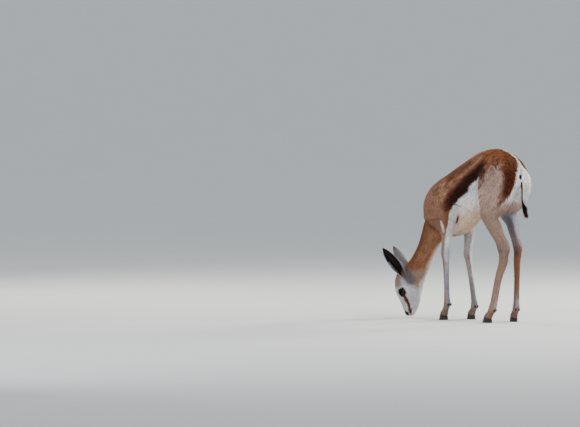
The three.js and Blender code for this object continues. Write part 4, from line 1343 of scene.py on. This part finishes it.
def coat_form(p, n):
    """Length, width and lift of the coat's tufts at points, and their density for each square millimetre."""
    x, y, z = p.T
    u, w = side_place(p)
    head = smooth(176, 150, z) * (y < HEAD_BACK)
    neck = smooth(350, 325, z) * (y < -185) * (1 - head)
    leg = smooth(430, 330, z) * smooth(-190, -175, y)
    length = 12 - 2.5 * neck - 6.0 * leg - 7.2 * head
    width = 1.75 - 0.25 * neck - 0.5 * leg - 0.85 * head
    lift = 1.5 - 0.2 * neck - 0.6 * leg - 0.8 * head
    rump = smooth(-4, 6, area_depth(RUMP, u, w)) * smooth(90, 120, y)
    rump = rump * smooth(10, 34, np.hypot(u - SPOT[0], w - SPOT[1] - 8))
    belly = smooth(-0.3, -0.7, n[:, 2]) * smooth(270, 300, z) * (y > -170)
    crest = smooth(6.5, 4.5, np.abs(x)) * smooth(500, 520, z) * smooth(-68, -58, y)
    crest = crest * np.maximum(smooth(12, -2, y), 0.35 * smooth(108, 118, y))
    near_side = (x > 0) * (y < -40)
    bare = np.maximum.reduce([
        smooth(26, 10, np.hypot(y - x - SPOT[0], w - SPOT[1] - 9)) * (y > 150),
        smooth(9, 5, line_distance(ARMPIT_LINE, u, w - 4)) * near_side,
        0.6 * smooth(9, 5, line_distance(ELBOW_LINE, u, w - 4)) * near_side])
    foot = leg * smooth(48, 26, z)
    muzzle = head * smooth(60, 20, z)
    near_eye = head * smooth(30, 20, eye_places(to_head(p))[3])
    # How much longer, wider and higher the tufts are at each of these places.
    for share, longer, wider, higher in [
            (rump, 3, 0, 1.6), (belly, 3, 0, 0.8), (crest, 4, 0, 6.0), (bare, -7, -0.5, -0.7),
            (foot, 1.5, 0, 0), (muzzle, -2.0, -0.25, -0.25), (near_eye, -1.8, -0.15, -0.25)]:
        length += longer * share
        width += wider * share
        lift += higher * share
    cover = 1.7 - 0.5 * leg - 0.5 * head
    return length, width, lift, cover / (0.55 * length * width)


# The charts of each set of coat pieces, and the most tufts in one piece.
COAT_SETS = {
    "trunk": ["trunk"],
    "neck_head": ["neck", "head"],
    "fore": ["fore_left", "fore_right"],
    "hind": ["hind_left", "hind_right"],
}
MOST_TUFTS = 19500


def dress():
    """The coat: tufts all over the skin, in pieces."""
    form = coat_form(POINTS[QUADS].mean(1), unit(UPS[QUADS].mean(1)))
    density = form[3] * np.clip(1 - 1.6 * BARE[QUADS].mean(1), 0, 1) * 1.0
    at, weights = scatter(density, 5)
    roots = spread(POINTS[QUADS], at, weights)
    ups = unit(spread(UPS[QUADS], at, weights))
    uv = spread(FLAT[0], at, weights)
    ways = lies(roots, ups)
    rng = np.random.default_rng(6)
    swing = rng.normal(0, 0.16, len(roots))
    ways = ways * np.cos(swing)[:, None] + np.cross(ups, ways) * np.sin(swing)[:, None]
    colour, _ = markings(roots + rng.normal(0, 1.2, roots.shape), ups)
    bright = 1 + np.clip(rng.normal(0, 0.16, len(roots)), -0.36, 0.36) + 0.06 * noise(roots, 14, 31)
    colour = np.clip(colour * bright[:, None], 0, 1)
    length, width, lift, _ = coat_form(roots, ups)
    length = length * rng.uniform(0.8, 1.2, len(roots))
    lift = lift * rng.uniform(0.6, 1.5, len(roots))
    width = width * 1
    code = region(roots)
    order = np.lexsort((roots[:, 1], code))
    for label, charts in COAT_SETS.items():
        chosen = order[np.isin(code[order], [CHART_NAMES.index(chart) for chart in charts])]
        parts = max(1, math.ceil(len(chosen) / MOST_TUFTS))
        for i, some in enumerate(np.array_split(chosen, parts)):
            values = [v[some] for v in (roots, ups, ways, length, width, lift, colour, uv)]
            finish(blades(f"coat_{label}_{i + 1}", *values, follow=TREE), "coat")


dress()


def ring_faces(rings, around):
    """Four-sided faces between rings of points, each with the same number of points around it."""
    r, k = np.meshgrid(np.arange(rings), np.arange(around), indexing="ij")
    r, k = r.ravel() * around, k.ravel()
    following = (k + 1) % around
    return np.stack([r + k, r + around + k, r + around + following, r + following], -1)


# Ears: the rolled cups of the solids, finer, with a dark inside and a pale fringe.
def ear_points(name, s, share, inset):
    """Points of an ear at places along it and round its roll, from its front rim, -1, to its back rim, 1."""
    root, tip, opening = EARS[name]
    start, end = head_point(root), head_point(tip)
    along = end - start
    size = np.linalg.norm(along)
    along = along / size
    open_way = head_way(opening)
    open_way = unit(open_way - along * (open_way @ along))
    across = np.cross(along, open_way)
    rows = np.array([row_at(EAR_ROLLS, v * (len(EAR_ROLLS) - 1)) for v in s.ravel()]).reshape(s.shape + (2,))
    radius, angle = rows[..., 0], np.radians(rows[..., 1])
    bow = radius * (1 + np.cos(angle)) / 2 - EAR_BOW * np.sin(math.pi * s)
    turn = angle * share
    r = radius - inset
    ripple = 0.35 * np.sin(turn * 9) * np.sin(math.pi * np.clip(s, 0, 1)) * (inset > 1)
    p = start + along * (s * size)[..., None]
    p = p + across * (r * np.sin(turn))[..., None]
    p = p + open_way * (EAR_DEEP * (bow - (r + ripple) * np.cos(turn)))[..., None]
    out = unit(across * np.sin(turn)[..., None] - open_way * np.cos(turn)[..., None])
    return p, out, along


def ear_colour(name, s, share, inner):
    front = -share if name == "left" else share
    base = np.tile(HUES["ear_back"], s.shape + (1,))

    def lay(hue, weight):
        weight = np.clip(weight, 0, 1)[..., None]
        base[:] = base + (HUES[hue] - base) * weight

    lay("grey", 0.5 * smooth(-0.2, 0.5, front))
    lay("cheek", 0.75 * bell(front + 0.4, 0.3) * bell(s - 0.45, 0.25))
    # Painted shade over the ear's root.
    lay("ear_root_shade", smooth(0.42, 0.2, s))
    lay("dark", 0.85 * smooth(0.8, 1.0, s) + 0.5 * smooth(0.9, 1.0, -front) * smooth(0.3, 0.5, s))
    if inner:
        base[:] = HUES["black"]
        lay("tear", 0.14 * bell(share - 0.35, 0.12) + 0.14 * bell(share + 0.3, 0.12))
        lay("cheek", 0.9 * smooth(0.88, 0.98, front) * smooth(0.97, 0.8, s))
    else:
        lay("cheek", 0.8 * smooth(0.84, 0.97, front) * smooth(0.25, 0.4, s))
    return base


def make_ear_cup(name):
    """A rolled cup of two walls, which meet at the rims."""
    rings, ribs = 48, 26
    s, share = np.meshgrid(np.linspace(0.0, 1, rings + 1), np.linspace(-1, 1, ribs + 1), indexing="ij")
    outer, inner = [ear_points(name, s, share, inset)[0] for inset in (0.45, 2.1 - 1.3 * s)]
    points = np.concatenate([outer, inner[:, ::-1]], axis=1).reshape(-1, 3)
    hues = [ear_colour(name, s, share, inside) for inside in (False, True)]
    colour = np.concatenate([hues[0], hues[1][:, ::-1]], axis=1).reshape(-1, 3)
    row = 2 * (ribs + 1)
    caps = []
    for ring, way in [(0, 1), (rings, -1)]:
        first, last = ring * row, ring * row + row - 1
        caps += [[first + k, first + k + 1, last - 1 - k, last - k][::way] for k in range(ribs)]
    faces = np.concatenate([ring_faces(rings, row), np.array(caps)])
    a, b, c, d = [points[faces[:, i]] for i in range(4)]
    cross = np.cross(c - a, d - b)
    if (cross * (a + b + c + d)).sum() < cross.sum(0) @ points.mean(0) * 4:
        faces = faces[:, ::-1]
    grid = np.meshgrid(np.linspace(0, 1, rings + 1), np.linspace(0, 1, row), indexing="ij")
    uv = np.stack(grid, -1).reshape(-1, 2)[faces] * 0.9 + 0.05
    wide = (faces % row).max(1) - (faces % row).min(1) > row // 2
    uv[wide] = uv[wide].mean(1, keepdims=True)
    finish(build("ear_cup_" + name, points, [faces], colour, [uv], SKIN), "coat", "ear_" + name)


def make_ear_hair(name):
    rng = np.random.default_rng(40 + len(name))
    sets = []
    # Short hair on the outside.
    count = 3400
    s = rng.uniform(0.06, 0.97, count)
    share = rng.uniform(-0.97, 0.97, count)
    root, up, along = ear_points(name, s, share, 0.9)
    colour = ear_colour(name, s, share, False) * rng.normal(1, 0.1, count)[:, None]
    way = along + rng.normal(0, 0.12, root.shape)
    sets.append((root, up, way, 6.0 - 2.2 * s, 1.0 - 0.25 * s, 0.8, colour, s, share))
    # A fringe along both rims, and long pale hair that rises from the mouth of the ear.
    for rim_side in (-1, 1):
        count = 420
        s = rng.uniform(0.2, 0.97, count)
        share = np.full(count, rim_side * 0.985)
        root, up, along = ear_points(name, s, share, 1.0)
        inward = unit(np.cross(along, up)) * rim_side
        front = (rim_side < 0) == (name == "left")
        hue = HUES["cheek"] if front else HUES["leg"] * 0.8
        colour = np.tile(hue, (count, 1)) * rng.normal(1, 0.1, count)[:, None]
        way = along + inward * rng.uniform(0.1, 0.5, count)[:, None]
        sets.append((root, up, way, 5.5 - 2.5 * s, 0.8, rng.normal(0, 0.5, count), colour, s, share))
    count = 150
    s = rng.uniform(0.22, 0.6, count)
    share = rng.choice([-1, 1], count) * rng.uniform(0.72, 0.95, count)
    root, up, along = ear_points(name, s, share, 2.2)
    colour = np.tile(HUES["cheek"], (count, 1)) * rng.uniform(0.45, 0.9, count)[:, None]
    way = along + rng.normal(0, 0.1, root.shape)
    sets.append((root, -up, way, 15.0 - 4 * s, 0.7, 1.6, colour, s, share))
    root, up, way, length, width, lift, colour, s, share = [
        np.concatenate([np.broadcast_to(v, (len(g[0]),) + np.shape(v)[1:]) for v, g in zip(column, sets)])
        for column in zip(*sets)]
    uv = np.stack([s * 0.9 + 0.05, (share + 1) / 4 * 0.9 + 0.05], -1)
    hair = blades("coat_ear_" + name, root, up, way, length, width, lift, np.clip(colour, 0, 1), uv, sink=0.2)
    finish(hair, "coat")


for ear_name in EARS:
    make_ear_cup(ear_name)
    make_ear_hair(ear_name)


def make_lashes(name, left):
    """Short stiff lashes along the outer lid, over the eye."""
    count = 46
    rng = np.random.default_rng(60 + left)
    axis, long, short = eye_frame()
    along = np.linspace(-9.5, 9.5, count) + rng.normal(0, 0.2, count)
    over = LASH_RISE * (1 - (np.abs(along) / LID_REACH) ** LID_POWER)
    out = np.sqrt(np.maximum((EYE_RADIUS + 0.8) ** 2 - along**2 - over**2, 0))
    short = short * (1 if short[1] > 0 else -1)
    root = EYE_CENTRE + long * along[:, None] + short * over[:, None] + axis * out[:, None]
    way = axis + short * 0.9 + long * (0.05 * along[:, None]) + rng.normal(0, 0.08, root.shape)
    up = unit(short + axis * 0.2 + 0 * root)
    flip = np.array([left, 1, 1])
    root, way, up = head_point(root * flip), head_way(way * flip), head_way(up * flip)
    colour = np.tile(HUES["black"], (count, 1))
    uv = np.stack([np.linspace(0.1, 0.9, count), np.full(count, 0.5)], -1)
    length = 5.5 * rng.uniform(0.7, 1.1, count)
    finish(blades(name, root, up, way, length, 0.34, 0.2, colour, uv, rings=3, sink=0.0), "coat")


make_lashes("lashes_left", 1)
make_lashes("lashes_right", -1)


# The tail: a slim stem with its hair, white above and black below, and the tuft.
def tail_colour(p, up):
    """White, with the spot beside the root and a dark line down the side that the photograph shows."""
    facing = smooth(-0.92, -0.72, up @ np.array([0.7, -0.7, 0.0]))
    line = smooth(483, 479, p[:, 2]) * np.maximum(facing, smooth(430, 415, p[:, 2]))
    dark = np.clip(line + tail_spot(p), 0, 1)[:, None]
    return HUES["white"] + (HUES["dark"] - HUES["white"]) * dark


TAIL_END = len(TAIL) - 1


def tail_rows(places):
    """The tail's rows at places that count rows from its root."""
    return np.array([row_at(TAIL, t) for t in places])


def make_tail_stem():
    """The stem: rings of points down the tail, closed at both ends."""
    rings, sides = 60, 12
    rows = tail_rows(TAIL_END * np.arange(rings + 1) / rings)
    centres = rows[:, :3]
    onward = unit(np.gradient(centres, axis=0))
    across = np.array([1.0, 0, 0])
    over = np.cross(onward, across)
    turn = np.linspace(0, 2 * math.pi, sides, endpoint=False)
    radius = rows[:, 3] * np.interp(rows[:, 2], [380, 410], [0.5, 0.72])
    ways = across * np.cos(turn)[None, :, None] + over[:, None] * np.sin(turn)[None, :, None]
    body = (centres[:, None] + radius[:, None, None] * ways).reshape(-1, 3)
    poles = np.concatenate([centres[:1] - onward[:1], centres[-1:] + onward[-1:]])
    colour = tail_colour(body, unit(body - np.repeat(centres, sides, axis=0)))
    colour = np.concatenate([colour, tail_colour(poles, unit(poles))])
    k = np.arange(sides)
    following, first, last = (k + 1) % sides, len(body), rings * sides
    caps = np.concatenate([
        np.stack([first + 0 * k, following, k], -1),
        np.stack([first + 1 + 0 * k, last + k, last + following], -1)])
    quads = ring_faces(rings, sides)[:, [0, 3, 2, 1]]
    reach = np.concatenate([[0], np.cumsum(np.linalg.norm(np.diff(centres, axis=0), axis=1))]) / 190
    spots = np.concatenate([
        np.stack([np.repeat(reach * 0.8 + 0.1, sides), np.tile(turn / 7 + 0.05, rings + 1)], -1),
        [[0.08, 0.5], [0.95, 0.5]]])
    points, uv = np.concatenate([body, poles]), [spots[quads], spots[caps]]
    finish(build("tail_stem", points, [quads, caps], colour, uv, SKIN), "tail_hair", "tail")


def make_tail_hair(rng):
    count = 2600
    t = rng.uniform(0, 1, count) ** 0.85
    row, before, after = [tail_rows(np.clip(t + step, 0, 1) * TAIL_END) for step in (0, -0.01, 0.01)]
    ahead = unit((after - before)[:, :3])
    angle = rng.uniform(0, 2 * math.pi, count)
    side = np.tile([1.0, 0, 0], (count, 1))
    up = unit(side * np.cos(angle)[:, None] + np.cross(ahead, side) * np.sin(angle)[:, None])
    root = row[:, :3] + up * (row[:, 3] * 0.66)[:, None]
    colour = np.clip(tail_colour(root, up) * rng.normal(1, 0.1, count)[:, None], 0, 1)
    uv = np.stack([t * 0.8 + 0.1, angle / 7 + 0.05], -1)
    low = smooth(425, 395, root[:, 2])
    length = (9 - 1.8 * low - 4.5 * smooth(472, 482, root[:, 2])) * rng.uniform(0.8, 1.2, count)
    lift = 0.8 + 0.6 * smooth(0.3, 0, t)
    finish(blades("coat_tail", root, up, ahead, length, 1.1, lift, colour, uv), "tail_hair")


def make_tail_tuft(rng):
    count = 560
    t = rng.uniform(0, 1, count)
    z = 412 - 42 * t
    x, y = centre_at(np.array(TAIL, float), z)
    angle = rng.uniform(0, 2 * math.pi, count)
    up = np.stack([np.cos(angle), np.sin(angle), 0 * angle], -1)
    root = np.stack([x, y, z], -1) + up * 1.4
    way = np.stack([rng.normal(-0.42, 0.09, count), rng.normal(0.5, 0.09, count), np.full(count, -1.0)], -1)
    way = way + up * 0.05
    length = (30 - 12 * t) * rng.uniform(0.6, 1.15, count)
    colour = np.tile(HUES["black"] * 1.6, (count, 1)) * rng.uniform(0.6, 1.5, count)[:, None]
    rusty = (rng.uniform(0, 1, count) < 0.9 * t)[:, None]
    colour = np.where(rusty, HUES["fringe"] * rng.uniform(0.7, 1.3, count)[:, None], colour)
    uv = np.stack([0.75 + 0.15 * t, angle / 7 + 0.05], -1)
    finish(blades("coat_tail_tuft", root, up, way, length, 1.3, 1.2, colour, uv, rings=4), "tail_hair")


TAIL_RANDOM = np.random.default_rng(77)
make_tail_stem()
make_tail_hair(TAIL_RANDOM)
make_tail_tuft(TAIL_RANDOM)


# Eyes: smooth wet balls in the solids' places, with a dark iris round a flat pupil.
def eye_material():
    m = Nodes("eye_wet")
    m.set(Roughness=0.08, IOR=1.38, Specular_IOR_Level=0.22)
    m.set(Coat_Weight=0.12, Coat_Roughness=0.03)
    where = m.where()
    colour = m.attribute("coat", "Color")
    m.set(Base_Color=m.tinted(colour, m.scale(m.noise(where, 420.0, 4.0), 0.3, 0.7, 0.7, 1.3)))
    return m.material


def make_eye(name, node_name, left, material):
    """A ball whose front has iris and pupil."""
    rings, ribs = 40, 56
    axis, long, short = eye_frame()
    turns = np.arange(ribs) * 2 * math.pi / ribs
    lean, turn = np.meshgrid(np.linspace(0, math.pi, rings + 1), turns, indexing="ij")
    across = long * np.cos(turn)[..., None] + short * np.sin(turn)[..., None]
    out = axis * np.cos(lean)[..., None] + across * np.sin(lean)[..., None]
    points = (EYE_CENTRE + EYE_RADIUS * out).reshape(-1, 3) * [left, 1, 1]
    a, b = np.sin(lean) * np.cos(turn), np.sin(lean) * np.sin(turn)
    pupil = smooth(0.04, -0.04, np.hypot(a / 0.4, b / 0.24) - 1)[..., None]
    iris = smooth(0.72, 0.62, np.hypot(a, b))[..., None]
    tint = HUES["black"] * 0.6 + iris * (HUES["iris"] - HUES["black"] * 0.6)
    tint = (tint + pupil * (HUES["black"] * 0.3 - tint)).reshape(-1, 3)
    faces = ring_faces(rings, ribs)[ribs:(rings - 1) * ribs]
    k = np.arange(ribs)
    following, base = (k + 1) % ribs, (rings - 1) * ribs
    tops = np.stack([0 * k, ribs + k, ribs + following], -1)
    bottoms = np.stack([0 * k + base + ribs, base + following, base + k], -1)
    groups = [faces, tops, bottoms]
    p, q, r, s = points[faces[0]]
    if np.cross(r - p, s - q) @ (points[faces[0]].mean(0) - EYE_CENTRE * [left, 1, 1]) < 0:
        groups = [g[:, ::-1] for g in groups]
    spots = np.stack([0.5 + 0.45 * a, 0.25 + 0.2 * b + 0.5 * (lean > math.pi / 2)], -1).reshape(-1, 2)
    used = np.unique(np.concatenate([g.ravel() for g in groups]))
    back = np.zeros(len(points), int)
    back[used] = np.arange(len(used))
    uv = [spots[g] for g in groups]
    ball = build(name, head_point(points[used]), [back[g] for g in groups], tint[used], uv, material)
    finish(ball, "eye", node_name)


# Hooves and dewclaws keep their solids and get a better surface.
HORN_DARK = (0.007, 0.005, 0.004, 1.0)
HORN_LIGHT = (0.032, 0.023, 0.018, 1.0)
HORN_BAND = (0.05, 0.036, 0.027, 1.0)


def horn_material():
    m = Nodes("horn_dark")
    where = m.where()
    wave = {"Vector": where, "Scale": 110.0, "Distortion": 3.0, "Detail": 3.0, "Detail Scale": 2.0}
    bands = m.add("ShaderNodeTexWave", wave, bands_direction="Z")["Fac"]
    grain = m.noise(where, 260.0, 5.0, 0.65)
    tone = m.mix(grain, HORN_DARK, HORN_LIGHT)
    m.set(Base_Color=m.mix(m.scale(bands, 0.0, 1.0, 0.0, 0.3), tone, HORN_BAND))
    m.set(Roughness=m.scale(grain, 0.3, 0.7, 0.42, 0.62), Specular_IOR_Level=0.3)
    m.set(Normal=m.relief(bands, 0.5, 0.0004))
    return m.material


EYE_LOOK = eye_material()
make_eye("ball_left", "eye_left", 1, EYE_LOOK)
make_eye("ball_right", "eye_right", -1, EYE_LOOK)
HORN_LOOK = horn_material()
for node_name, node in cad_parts.items():
    if not node_name.startswith(("hoof", "dewclaw")):
        continue
    if node.material_slots:
        for material_slot in node.material_slots:
            material_slot.material = HORN_LOOK
    else:
        node.data.materials.append(HORN_LOOK)

# Floor, light and camera: sizes in metres, the sensor and the focal length in millimetres. A light has its
# place, size, power and colour.
FLOOR_HALF = 90.0
FLOOR_TONES = (0.6, 0.6, 0.585, 1.0), (0.64, 0.64, 0.625, 1.0)
FOOT = Vector((-ORIGIN[0] / 1000, -ORIGIN[1] / 1000, 0))
AZIMUTH, ELEVATION, DISTANCE = math.radians(135), math.radians(3.5), 21.9
RIGHT = Vector((math.cos(AZIMUTH), math.sin(AZIMUTH), 0))
BACK = Vector((
    math.sin(AZIMUTH) * math.cos(ELEVATION), -math.cos(AZIMUTH) * math.cos(ELEVATION), math.sin(ELEVATION)))
UP = BACK.cross(RIGHT)
LIGHTS = [
    ("key", RIGHT * 1.2 + UP * 2.6 + BACK * 1.0, 1.6, 70, (1.0, 0.97, 0.92)),
    ("rim_right", RIGHT * 2.0 + UP * 1.6 - BACK * 1.6, 0.8, 90, (1.0, 0.95, 0.88)),
    ("rim_left", RIGHT * -1.8 + UP * 1.8 - BACK * 1.7, 0.8, 45, (1.0, 0.93, 0.85)),
    ("fill", RIGHT * -2.0 + UP * 1.2 + BACK * 2.4, 2.2, 30, (0.9, 0.95, 1.0)),
]
SKY = (0.86, 0.93, 1.0, 1.0)
SKY_STRENGTH = 0.85
LIT_SPOT = Vector((0, 0, 0.32))
SENSOR, FOCAL_LENGTH, FAR_END = 36.0, 400.0, 400.0
SEEN_SPOT = FOOT - RIGHT * 0.646 + UP * 0.364


def floor():
    mesh = bpy.data.meshes.new("floor")
    corners = [(-1, -1), (1, -1), (1, 1), (-1, 1)]
    mesh.from_pydata([(a * FLOOR_HALF, b * FLOOR_HALF, 0) for a, b in corners], [], [(0, 1, 2, 3)])
    piece = bpy.data.objects.new("floor", mesh)
    bpy.context.scene.collection.objects.link(piece)
    m = Nodes("floor_pale")
    m.set(Base_Color=m.mix(m.noise(m.where(), 3.0, 3.0), *FLOOR_TONES), Roughness=0.9)
    mesh.materials.append(m.material)


def aim(thing, place_at, target):
    thing.location = place_at
    thing.rotation_euler = (place_at - target).to_track_quat("Z", "Y").to_euler()


def light(name, place_at, size, power, colour):
    lamp = bpy.data.lights.new(name, "AREA")
    lamp.size = size
    lamp.energy = power
    lamp.color = colour
    thing = bpy.data.objects.new(name, lamp)
    bpy.context.scene.collection.objects.link(thing)
    aim(thing, place_at, LIT_SPOT)


def sky():
    world = bpy.data.worlds.new("studio")
    world.use_nodes = True
    background = world.node_tree.nodes["Background"]
    background.inputs["Color"].default_value = SKY
    background.inputs["Strength"].default_value = SKY_STRENGTH
    bpy.context.scene.world = world


def camera():
    lens = bpy.data.cameras.new("camera")
    lens.sensor_width = SENSOR
    lens.lens = FOCAL_LENGTH
    lens.clip_end = FAR_END
    thing = bpy.data.objects.new("camera", lens)
    bpy.context.scene.collection.objects.link(thing)
    aim(thing, FOOT + BACK * DISTANCE, SEEN_SPOT)
    bpy.context.scene.camera = thing


floor()
sky()
for row in LIGHTS:
    light(*row)
camera()
